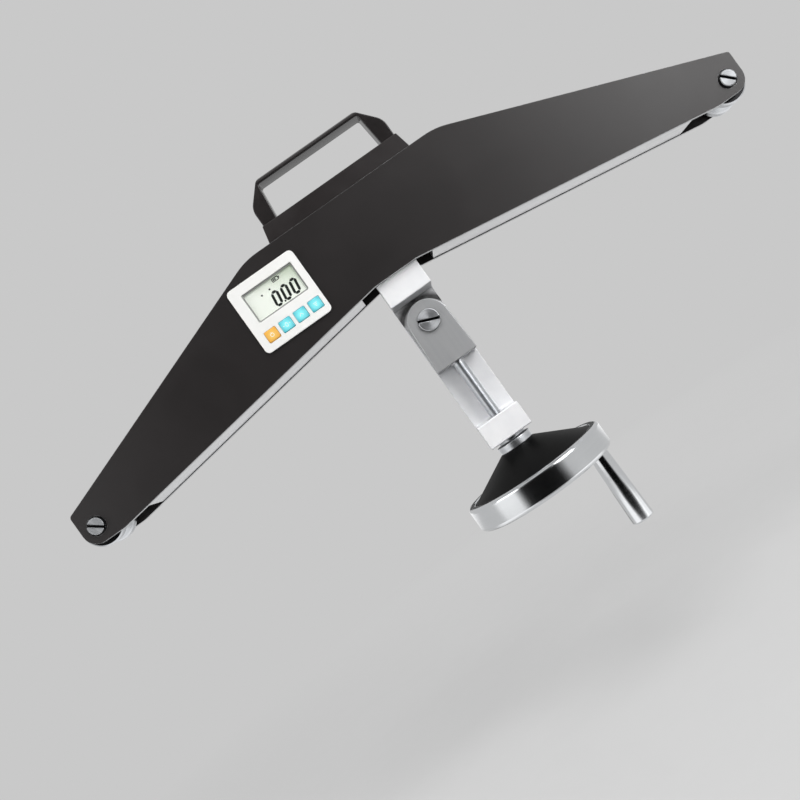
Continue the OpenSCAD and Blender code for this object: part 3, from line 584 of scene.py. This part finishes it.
def copy_piece(piece, name, move=(0, 0, 0), turn=(0, 0, 0)):
    copy = piece.copy()
    copy.data = piece.data.copy()
    copy.name = name
    bpy.context.scene.collection.objects.link(copy)
    copy.location = move
    copy.rotation_euler = turn
    bpy.ops.object.select_all(action="DESELECT")
    copy.select_set(True)
    bpy.context.view_layer.objects.active = copy
    bpy.ops.object.transform_apply(location=True, rotation=True, scale=True)
    return copy


def fit_piece(piece, finish, body):
    piece.data.materials.append(finish)
    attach(piece, body)


rod = start_piece(
    "threaded_rod", bpy.ops.mesh.primitive_cylinder_add, vertices=ROD_SIDES, radius=rod_r,
    depth=foot_z - rod_low.z, location=(0, 0, (foot_z + rod_low.z) / 2),
)
open_mesh()
pick_faces((0, 0, 1))
bpy.ops.mesh.inset(thickness=THREAD_DEPTH)
extrude((0, 0, shoulder_z - foot_z))
bpy.ops.mesh.inset(thickness=rod_r - THREAD_DEPTH - NECK_R)
extrude((0, 0, rod_high.z - shoulder_z))
pick_faces((0, 0, -1))
bpy.ops.mesh.bevel(offset=ROD_FOOT_EDGE, segments=2, affect="EDGES")
close_mesh()

tooth = start_piece(
    "thread_tooth", bpy.ops.mesh.primitive_circle_add, vertices=3, radius=tooth_r,
    location=(rod_r - tooth_r, 0, foot_z + THREAD_RUNOUT), rotation=(-math.pi / 2, -math.pi / 2, 0),
)
helix = tooth.modifiers.new("helix", "SCREW")
helix.axis = "Z"
helix.angle = 2 * math.pi
helix.screw_offset = THREAD_LEAD
helix.iterations = int((shoulder_z - foot_z - 2 * THREAD_RUNOUT) / THREAD_LEAD)
helix.steps = THREAD_STEPS
helix.render_steps = THREAD_STEPS
bpy.ops.object.modifier_apply(modifier="helix")
open_mesh()
bpy.ops.mesh.fill_holes(sides=3)
bpy.ops.mesh.normals_make_consistent(inside=False)
close_mesh()
teeth = [tooth]
for start in range(1, THREAD_STARTS):
    turn = 2 * math.pi * start / THREAD_STARTS
    teeth.append(copy_piece(tooth, "thread_tooth_next", turn=(0, 0, turn)))
join_pieces(rod, teeth)
bpy.ops.object.shade_smooth_by_angle(angle=math.radians(30))
rod_finish = turned_metal(
    "rod_ground", ROD_STEEL, ROD_SHADE, (0, 0, 0), ALONG_Z, rough=0.32, depth=0.00001
)
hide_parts("lead_screw")
fit_piece(rod, rod_finish, "screw")
dress(rod_finish, "hub_collar", "swivel_nut")
soften(COLLAR_EDGE, "hub_collar")


# Handwheel. A dished wheel of cast iron, keyed to the screw, with a black lacquered hub and web and a
# chromed rim. A washer and a nut hold it, and a chromed grip turns on a shoulder screw in its web.
WHEEL_BLACK = "040404"
WHEEL_RUBBED = "080808"
CHROME = "e4e6e8"
CHROME_SHADE = "e1e3e5"
NUT_EDGE = 0.0004
wheel_finish = moulded(
    "wheel_enamel", WHEEL_BLACK, WHEEL_RUBBED, rough=0.45, grain=0.0009, depth=0.000008,
    sockets={"Specular IOR Level": 0.08},
)
dress(wheel_finish, "handwheel")
rim_finish = turned_metal(
    "rim_chrome", CHROME, CHROME_SHADE, (0, 0, 0), ALONG_Z, rough=0.13, depth=0.0000008
)
dress(rim_finish, "handwheel_rim")
low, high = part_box("crank_grip")
grip_finish = turned_metal(
    "grip_chrome", CHROME, CHROME_SHADE, (low + high) / 2, ALONG_Z, rough=0.09, depth=0.0000008
)
dress(grip_finish, "crank_grip")
dress(zinc, "wheel_key", "wheel_washer", "wheel_nut", "crank_spindle")
soften(NUT_EDGE, "wheel_nut")


# Display. A white front of moulded plastic sits in the front plate and frames a reflective LCD with a
# pale green back. The LCD shows a plain zero reading in slanted bars, a battery mark and two dots.
BEZEL_WHITE = "f4f4f2"
BEZEL_RUBBED = "ecece9"
BEZEL_EDGE = 0.0003
LCD_PALE = "f6fbf2"
LCD_GREEN = "cbd8c2"
LCD_PAINTED_GLOW = 0.12
TINT_SLOPE = (18.0, 0, 34.0)
TINT_FULL = 0.8
LCD_INK = "0d110d"
LCD_INK_PALE = "1d241e"
INK_THICK = 0.00004
DIGITS = 3
DIGIT_HIGH = 0.0108
DIGIT_WIDE = 0.0045
DIGIT_PITCH = 0.0084
DIGIT_SLANT = math.radians(8)
DIGIT_FROM_RIGHT = 0.0089
DIGIT_FROM_FOOT = 0.00975
BAR_WIDE = 0.0021
BAR_GAP = 0.0003
DOT_R = 0.0008
DOTS_FROM_CORNER = ((0.0144, 0.0094), (0.0220, 0.0088))
BATTERY_FROM_CORNER = (0.0300, 0.0047)
BATTERY_WIDE = 0.0058
BATTERY_HIGH = 0.0032
BATTERY_LINE = 0.0006
BATTERY_CORNER = 0.0005
BATTERY_BAR_HIGH = 0.0014
BATTERY_BARS = ((-0.0014, 0.0011), (0, 0.0011), (0.0033, 0.0008))
UPRIGHT = (math.pi / 2, 0, 0)
lcd_low, lcd_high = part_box("lcd_module")
ink_y = lcd_low.y - INK_THICK


def lcd_panel():
    # The panel glows faintly in its own colours: painted light, because a reflective LCD has no lamp.
    finish, tree, shader, place = new_finish("lcd_panel", {"Roughness": 0.3, "Emission Strength": LCD_PAINTED_GLOW})
    across = combine_vectors(tree, "SUBTRACT", place, (lcd_low + lcd_high) / 2)["Vector"]
    slope = combine_vectors(tree, "DOT_PRODUCT", across, TINT_SLOPE)["Value"]
    grain = use_group(tree, surface_grain, {"Place": place, "Grain": 0.0004})
    panel = blend_colours(tree, ramp(tree, slope, 0.0, TINT_FULL), LCD_PALE, LCD_GREEN)
    tree.links.new(panel, shader.inputs["Base Color"])
    tree.links.new(panel, shader.inputs["Emission Color"])
    raise_surface(tree, shader, grain["Fine"], depth=0.000002)
    return finish


def thicken(piece, thick):
    solid = piece.modifiers.new("thick", "SOLIDIFY")
    solid.thickness = thick
    solid.offset = 0
    bpy.ops.object.modifier_apply(modifier="thick")
    return piece


def ink_piece(name, add, **size):
    return thicken(start_piece(name, add, rotation=UPRIGHT, **size), INK_THICK)


def ink_ring(name, centre, wide, high, band, corner):
    """Print a frame with round corners: a plane, rounded, inset and opened."""
    piece = start_piece(
        name, bpy.ops.mesh.primitive_plane_add, (wide, high, 1), size=1, location=centre, rotation=UPRIGHT
    )
    open_mesh()
    bpy.ops.mesh.bevel(offset=corner, segments=6, affect="VERTICES")
    bpy.ops.mesh.select_mode(type="FACE")
    bpy.ops.mesh.select_all(action="SELECT")
    bpy.ops.mesh.inset(thickness=band)
    bpy.ops.mesh.delete(type="FACE")
    close_mesh()
    return thicken(piece, INK_THICK)


def ink_bar(name, length):
    """Print one bar of a digit: a hexagon whose two ends are drawn apart."""
    piece = start_piece(
        name, bpy.ops.mesh.primitive_circle_add, (1, math.sqrt(3), 1), vertices=6,
        radius=BAR_WIDE / math.sqrt(3), fill_type="NGON", rotation=UPRIGHT,
    )
    stretch = length / 2 - BAR_WIDE
    open_mesh()
    for side in (1, -1):
        pick("VERT", lambda corner: corner.co.z * side > 0)
        bpy.ops.transform.translate(value=(0, 0, side * stretch))
    close_mesh()
    return thicken(piece, INK_THICK)


bezel_finish = moulded(
    "bezel_moulded", BEZEL_WHITE, BEZEL_RUBBED, rough=0.34, grain=0.0006, depth=0.000015
)
dress(bezel_finish, "display_bezel")
soften(BEZEL_EDGE, "display_bezel")
dress(lcd_panel(), "lcd_module")

long_bar = ink_bar("digit_upright", DIGIT_HIGH - BAR_GAP)
short_bar = ink_bar("digit_level", DIGIT_WIDE - BAR_GAP)
dot = ink_piece(
    "reading_dot", bpy.ops.mesh.primitive_circle_add, vertices=8, radius=DOT_R, fill_type="NGON"
)
last_digit = lcd_high.x - DIGIT_FROM_RIGHT
digit_mid = lcd_low.z + DIGIT_FROM_FOOT
marks = []


def lay_mark(piece, x, z, turn=0):
    marks.append(copy_piece(piece, "ink_mark", (x, ink_y, z), (0, turn, 0)))


for count in range(DIGITS):
    digit_x = last_digit - count * DIGIT_PITCH
    for side in (-1, 1):
        rise = side * DIGIT_HIGH / 2
        lay_mark(short_bar, digit_x + math.tan(DIGIT_SLANT) * rise, digit_mid + rise, math.pi / 2)
        lay_mark(long_bar, digit_x + side * DIGIT_WIDE / 2, digit_mid, DIGIT_SLANT)
lay_mark(dot, last_digit - 1.5 * DIGIT_PITCH, digit_mid - DIGIT_HIGH / 2)
for x, z in DOTS_FROM_CORNER:
    lay_mark(dot, lcd_low.x + x, lcd_high.z - z)
reading = marks.pop()
join_pieces(reading, marks)
reading.name = "lcd_reading"
bpy.ops.object.select_all(action="DESELECT")
for pattern in (long_bar, short_bar, dot):
    pattern.select_set(True)
bpy.ops.object.delete()
ink = moulded("lcd_ink", LCD_INK, LCD_INK_PALE, rough=0.4, grain=0.0005, depth=0.000001)
fit_piece(reading, ink, "root")

battery_x, battery_z = BATTERY_FROM_CORNER
battery_mid = Vector((lcd_low.x + battery_x, ink_y, lcd_high.z - battery_z))
mark_case = ink_ring(
    "battery_mark", battery_mid, BATTERY_WIDE, BATTERY_HIGH, BATTERY_LINE, BATTERY_CORNER
)
cells = [
    ink_piece(
        "battery_mark_cell", bpy.ops.mesh.primitive_plane_add, size=1,
        location=battery_mid + Vector((offset, 0, 0)), scale=(wide, BATTERY_BAR_HIGH, 1),
    )
    for offset, wide in BATTERY_BARS
]
join_pieces(mark_case, cells)
fit_piece(mark_case, ink, "root")


# Window. A clear glass lens with eased edges is pressed into the bezel over the LCD.
# A grey border with round corners is printed on its front.
LENS_CLEAR = "fbfdfb"
LENS_GAP = 0.0003
LENS_EDGE = 0.0002
BORDER_GREY = "8b8d8a"
BORDER_RUBBED = "989a97"
BORDER_WIDE = 0.0012
BORDER_ROUND = 0.0022
BORDER_INSET = 0.00102
pane_low, pane_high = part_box("window_pane")
pane_mid = (pane_low + pane_high) / 2
pane_size = pane_high - pane_low


def clear_lens():
    finish, tree, shader, place = new_finish("window_clear", {
        "Base Color": linear(LENS_CLEAR), "Metallic": 1.0, "Alpha": 0.07,
    })
    grain = use_group(tree, surface_grain, {"Place": place, "Grain": 0.002})
    tree.links.new(spread(tree, grain["Patches"], low=0.02, high=0.06), shader.inputs["Roughness"])
    return finish


lens = start_piece(
    "window_lens", bpy.ops.mesh.primitive_cube_add, (pane_size.x, pane_size.y - LENS_GAP, pane_size.z),
    size=1, location=pane_mid - Vector((0, LENS_GAP / 2, 0)),
)
open_mesh()
bpy.ops.mesh.bevel(offset=LENS_EDGE, segments=2, affect="EDGES")
close_mesh()
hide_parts("window_pane")
fit_piece(lens, clear_lens(), "root")

border = ink_ring(
    "window_border", Vector((pane_mid.x, pane_low.y - INK_THICK / 2, pane_mid.z)),
    pane_size.x - 2 * BORDER_INSET, pane_size.z - 2 * BORDER_INSET, BORDER_WIDE, BORDER_ROUND,
)
border_finish = moulded(
    "border_print", BORDER_GREY, BORDER_RUBBED, rough=0.4, grain=0.0005, depth=0.000001
)
fit_piece(border, border_finish, "root")


# Buttons. Four moulded plastic caps, one orange and three blue, stand through the bezel on rubber domes.
# Each has a rim that holds it behind the bezel, a crowned front and a printed white sign.
# Each button gives its plain colour and then the lit colour that is painted as a highlight at the centre of
# its cap.
ORANGE = ("button_orange", "eeae44", "f6c968")
BLUE = ("button_blue", "5ac8d6", "8ef7fb")
CAP_RIM = 0.0007
CAP_DEEP = 0.0010
CAP_CORNER = 0.0017
CAP_CROWN = ((0.97, 0.00018), (0.93, 0.00009), (0.8, 0.00005))
CAP_LIT_R = 0.0026
CAP_SHADE_R = 0.0058
SIGN_WHITE = "fafaf6"
SIGN_RUBBED = "f0f0ec"
SIGN_LINE = 0.00045
SIGN_THICK = 0.00006
RING_R = 0.0014
STROKE_UP = 0.0013
STROKE_HIGH = 0.0018
ZERO_SHAPE = (0.72, 1.15)
DASH_ASIDE = 0.0027
DASH_WIDE = 0.0013
SLOPE_ASIDE = 0.0008
SLOPE_LONG = 0.0026
SLOPE_LEAN = math.radians(40)
UNIT_LINES = ((0.0012, 0.0034), (0, 0.0024), (-0.0012, 0.0014))


def runs_deep(edge):
    run = edge.verts[0].co - edge.verts[1].co
    return abs(run.y) > ALIGNED * run.length


def button_cap(name, low, high):
    size = high - low
    cap = start_piece(
        name + "_cap", bpy.ops.mesh.primitive_cube_add, (size.x, CAP_DEEP, size.z), size=1,
        location=((low.x + high.x) / 2, high.y - CAP_DEEP / 2, (low.z + high.z) / 2),
    )
    open_mesh()
    pick("EDGE", runs_deep)
    bpy.ops.mesh.bevel(offset=CAP_CORNER, segments=5, affect="EDGES")
    pick_faces((0, -1, 0))
    bpy.ops.mesh.inset(thickness=CAP_RIM)
    extrude((0, low.y - high.y + CAP_DEEP + sum(lift for share, lift in CAP_CROWN), 0))
    for share, lift in CAP_CROWN:
        extrude((0, -lift, 0))
        bpy.ops.transform.resize(value=(share, 1, share), center_override=(low + high) / 2)
    close_mesh()
    bpy.ops.object.shade_smooth_by_angle(angle=math.radians(40))
    return cap


def cap_finish(name, tone, lit, centre):
    finish, tree, shader, place = new_finish(name + "_moulded", {"Roughness": 0.42})
    reach = combine_vectors(tree, "DISTANCE", place, centre)["Value"]
    grain = use_group(tree, surface_grain, {"Place": place, "Grain": 0.0003})
    # The cap takes its lit colour at the centre and its plain colour towards the rim: a painted highlight
    # and shade on the crowned front.
    shaded = blend_colours(tree, ramp(tree, reach, CAP_SHADE_R, CAP_LIT_R), tone, lit)
    tree.links.new(shaded, shader.inputs["Base Color"])
    raise_surface(tree, shader, grain["Fine"], depth=0.000006)
    return finish


def sign_bar(place, wide, high, turn=0):
    bar = start_piece(
        "sign_bar", bpy.ops.mesh.primitive_cube_add, (wide, SIGN_THICK, high), size=1,
        location=place, rotation=(0, turn, 0),
    )
    open_mesh()
    bpy.ops.mesh.bevel(offset=SIGN_THICK / 4, segments=1, affect="EDGES")
    close_mesh()
    return bar


def sign_ring(place, wide=1, high=1):
    return start_piece(
        "sign_ring", bpy.ops.mesh.primitive_torus_add, (wide, high, SIGN_THICK / SIGN_LINE), location=place,
        rotation=UPRIGHT, major_radius=RING_R, minor_radius=SIGN_LINE / 2,
        major_segments=28, minor_segments=8,
    )


def power_sign(place):
    return [sign_ring(place), sign_bar(place + Vector((0, 0, STROKE_UP)), SIGN_LINE, STROKE_HIGH)]


def zero_sign(place):
    spots = [place + Vector((side * DASH_ASIDE, 0, 0)) for side in (-1, 1)]
    dashes = [sign_bar(spot, DASH_WIDE, SIGN_LINE) for spot in spots]
    return [sign_ring(place, *ZERO_SHAPE), *dashes]


def peak_sign(place):
    return [
        sign_bar(place + Vector((side * SLOPE_ASIDE, 0, 0)), SIGN_LINE, SLOPE_LONG, -side * SLOPE_LEAN)
        for side in (-1, 1)
    ]


def unit_sign(place):
    return [sign_bar(place + Vector((0, 0, rise)), wide, SIGN_LINE) for rise, wide in UNIT_LINES]


BUTTONS = {
    "power_button": (*ORANGE, power_sign),
    "zero_button": (*BLUE, zero_sign),
    "peak_button": (*BLUE, peak_sign),
    "unit_button": (*BLUE, unit_sign),
}
sign_print = moulded("sign_print", SIGN_WHITE, SIGN_RUBBED, rough=0.4, grain=0.0005, depth=0.000002)
for name, (slot, tone, lit, draw_sign) in BUTTONS.items():
    low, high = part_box(name)
    cap_mid = (low + high) / 2
    cap = button_cap(name, low, high)
    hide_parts(name)
    fit_piece(cap, cap_finish(name, tone, lit, cap_mid), name)
    sign, *rest = draw_sign(Vector((cap_mid.x, low.y, cap_mid.z)))
    join_pieces(sign, rest)
    sign.name = name + "_sign"
    fit_piece(sign, sign_print, name)


# Electronics. The circuit board, the rubber domes of the buttons, the wrapped battery and the sensor lead
# lie inside the closed body, and the plastic charge socket comes out through the left upper wall.
INSIDE = {
    "circuit_board": moulded("board_mask", "235c34", "2d7142", rough=0.3, grain=0.002, depth=0.00003),
    "dome_pads": moulded("dome_rubber", "c9c9c4", "bdbdb8", rough=0.6, grain=0.0006, depth=0.00002),
    "battery": moulded("battery_wrap", "2f5f9a", "386cab", rough=0.3, grain=0.0015, depth=0.00002),
    "sensor_lead": moulded("lead_rubber", "161616", "202020", rough=0.5, grain=0.0006, depth=0.00002),
    "charge_socket": moulded("socket_plastic", "1a1a1b", "232324", rough=0.4, grain=0.0005, depth=0.00002),
}
for name, finish in INSIDE.items():
    dress(finish, name)


# Studio. A plain pale floor lies under the meter. Soft boxes stand at its sides, in front, above and
# behind, a narrow lamp lights the pull frame, and only the bright metal mirrors the dark and white cards.
# The camera sees the meter tilted.
PALE = "c9c9c9"
WHITE = "ffffff"
FLOOR_Z = -0.34
FLOOR_SIZE = 12.0
FLOOR_NEAR = 0.35
FLOOR_FAR = 1.2
FLOOR_GLOW = 0.6
FLOOR_PAPER = "e6e6e6"
FLOOR_PAPER_SHADE = "e3e3e3"
FLOOR_UNSEEN = "5a5a5a"
CARD_BLACK = "0a0a0a"
CARD_CORE = 0.3
CARD_RIM = 0.5
LYING = (0, 0, 0)
TURNED_IN = (math.pi / 2, 0, -math.pi / 3)
DARK_CARDS = {
    "dark_card_front": ((-0.10, -0.76, 0.02), UPRIGHT, (1.4, 1.3)),
    "dark_card_below": ((0.05, -0.78, -0.33), LYING, (1.3, 0.85)),
    "dark_card_rear": ((0.0, 0.46, -0.33), LYING, (0.34, 0.5)),
    "dark_card_behind": ((0.02, 1.5, 0.09), UPRIGHT, (1.0, 0.3)),
}
WHITE_CARDS = {
    "white_card_left": ((-0.95, -0.55, -0.12), TURNED_IN, (1.1, 0.9)),
    "white_card_low_left": ((-0.42, -0.2, -0.335), LYING, (0.6, 0.7)),
    "white_card_low_right": ((0.46, -0.15, -0.335), LYING, (0.6, 0.7)),
    "white_card_far": ((0.2, 2.2, -0.335), LYING, (4.5, 2.6)),
}
AMBIENT = 0.15
WIDE_BEAM = math.pi
NARROW_BEAM = math.radians(40)
CAMERA_PLACE = Vector((-0.02968, -0.62040, -0.07244))
CAMERA_YAW = math.radians(-1.2187)
CAMERA_TILT = math.radians(90.2074)
CAMERA_ROLL = math.radians(-35.5131)
FOCAL_PIXELS = 774.13
SHIFT_PIXELS = -60
IMAGE_PIXELS = 800
SENSOR = 36.0


def backdrop_rays(tree):
    path = add_node(tree, "LightPath", {}).outputs
    seen = combine(tree, "MAXIMUM", path["Is Camera Ray"], path["Is Glossy Ray"])
    return combine(tree, "MAXIMUM", seen, path["Is Transmission Ray"])


def show_mix(tree, output, share, first, second):
    mixed = add_node(tree, "MixShader", {0: share, 1: first.outputs[0], 2: second.outputs[0]})
    tree.links.new(mixed.outputs[0], tree.nodes[output].inputs["Surface"])


def floor_paper():
    finish, tree, shader, place = new_finish("floor_pale", {"Roughness": 0.9})
    grain = use_group(tree, surface_grain, {"Place": place, "Grain": 0.01})
    seen = backdrop_rays(tree)
    paper = blend_colours(tree, spread(tree, grain["Patches"]), FLOOR_PAPER, FLOOR_PAPER_SHADE)
    tree.links.new(blend_colours(tree, seen, FLOOR_UNSEEN, paper), shader.inputs["Base Color"])
    away = combine_vectors(tree, "LENGTH", place)["Value"]
    fade = ramp(tree, away, FLOOR_NEAR, FLOOR_FAR, low=FLOOR_GLOW)
    glow = add_node(tree, "Emission", {"Color": linear(PALE), "Strength": 1.0})
    show_mix(tree, "Material Output", combine(tree, "MULTIPLY", fade, seen), shader, glow)
    return finish


def soft_card(name, sockets):
    """A card that fades out towards its rim."""
    finish, tree, shader, place = new_finish(name, sockets)
    across = combine_vectors(tree, "ABSOLUTE", place)["Vector"]
    sides = add_node(tree, "SeparateXYZ", {0: across}).outputs
    edge = ramp(tree, combine(tree, "MAXIMUM", sides["X"], sides["Y"]), CARD_CORE, CARD_RIM)
    clear = add_node(tree, "BsdfTransparent", {})
    show_mix(tree, "Material Output", edge, shader, clear)
    return finish


def add_plane(name, finish, size, place, turn=LYING):
    bpy.ops.object.select_all(action="DESELECT")
    bpy.ops.mesh.primitive_plane_add(size=size, location=place, rotation=turn)
    plane = bpy.context.object
    plane.name = name
    plane.data.materials.append(finish)
    return plane


def place_cards(cards, finish):
    for name, (place, turn, size) in cards.items():
        card = add_plane(name, finish, 1, place, turn)
        card.scale = (*size, 1)
        card.visible_camera = False
        card.visible_diffuse = False
        card.visible_shadow = False


def soft_box(name, place, size, watts, aim=(0, 0, 0), mirrored=False, beam=WIDE_BEAM):
    light = bpy.data.lights.new(name, "AREA")
    light.shape = "RECTANGLE"
    light.size, light.size_y = size
    light.energy = watts
    light.spread = beam
    box = bpy.data.objects.new(name, light)
    bpy.context.scene.collection.objects.link(box)
    box.location = place
    box.visible_camera = False
    box.visible_glossy = mirrored
    box.rotation_euler = (Vector(aim) - Vector(place)).to_track_quat("-Z", "Y").to_euler()


add_plane("studio_floor", floor_paper(), FLOOR_SIZE, (0, 0, FLOOR_Z))
place_cards(DARK_CARDS, soft_card("card_dark", {
    "Base Color": linear(CARD_BLACK), "Roughness": 0.9, "Specular IOR Level": 0.1,
}))
place_cards(WHITE_CARDS, soft_card("card_white", {
    "Base Color": linear("000000"), "Emission Color": linear(WHITE), "Emission Strength": 1.0,
}))

world = bpy.data.worlds.new("studio_world")
bpy.context.scene.world = world
world.use_nodes = True
backdrop = world.node_tree.nodes["Background"]
backdrop.inputs["Color"].default_value = linear(PALE)
ambient = add_node(world.node_tree, "Background", {"Color": linear(WHITE), "Strength": AMBIENT})
show_mix(world.node_tree, "World Output", backdrop_rays(world.node_tree), ambient, backdrop)

soft_box("box_right", (0.95, -0.95, 0.55), size=(0.9, 1.1), watts=16, aim=(0.12, 0, 0), mirrored=True)
soft_box("box_left", (-1.15, -0.6, 0.3), size=(0.9, 1.1), watts=6, mirrored=True)
soft_box("box_front", (-0.05, -0.74, 0.42), size=(1.0, 0.6), watts=0.7)
soft_box("box_frame", (0.12, -0.9, 0.0), size=(0.3, 0.3), watts=0.09, aim=(0, 0, -0.075), beam=NARROW_BEAM)
soft_box("box_top", (0.0, -0.6, 1.15), size=(1.0, 0.6), watts=8)
soft_box("box_rear", (0.2, 1.3, 0.1), size=(2.2, 0.5), watts=7)

camera_data = bpy.data.cameras.new("photo_camera")
camera_data.sensor_width = SENSOR
camera_data.lens = FOCAL_PIXELS / IMAGE_PIXELS * SENSOR
camera_data.shift_x = SHIFT_PIXELS / IMAGE_PIXELS
camera = bpy.data.objects.new("photo_camera", camera_data)
bpy.context.scene.collection.objects.link(camera)
camera.matrix_world = (
    Matrix.Translation(CAMERA_PLACE)
    @ Matrix.Rotation(CAMERA_YAW, 4, "Z")
    @ Matrix.Rotation(CAMERA_TILT, 4, "X")
    @ Matrix.Rotation(CAMERA_ROLL, 4, "Z")
)
bpy.context.scene.camera = camera
bpy.context.scene.view_settings.view_transform = "Standard"
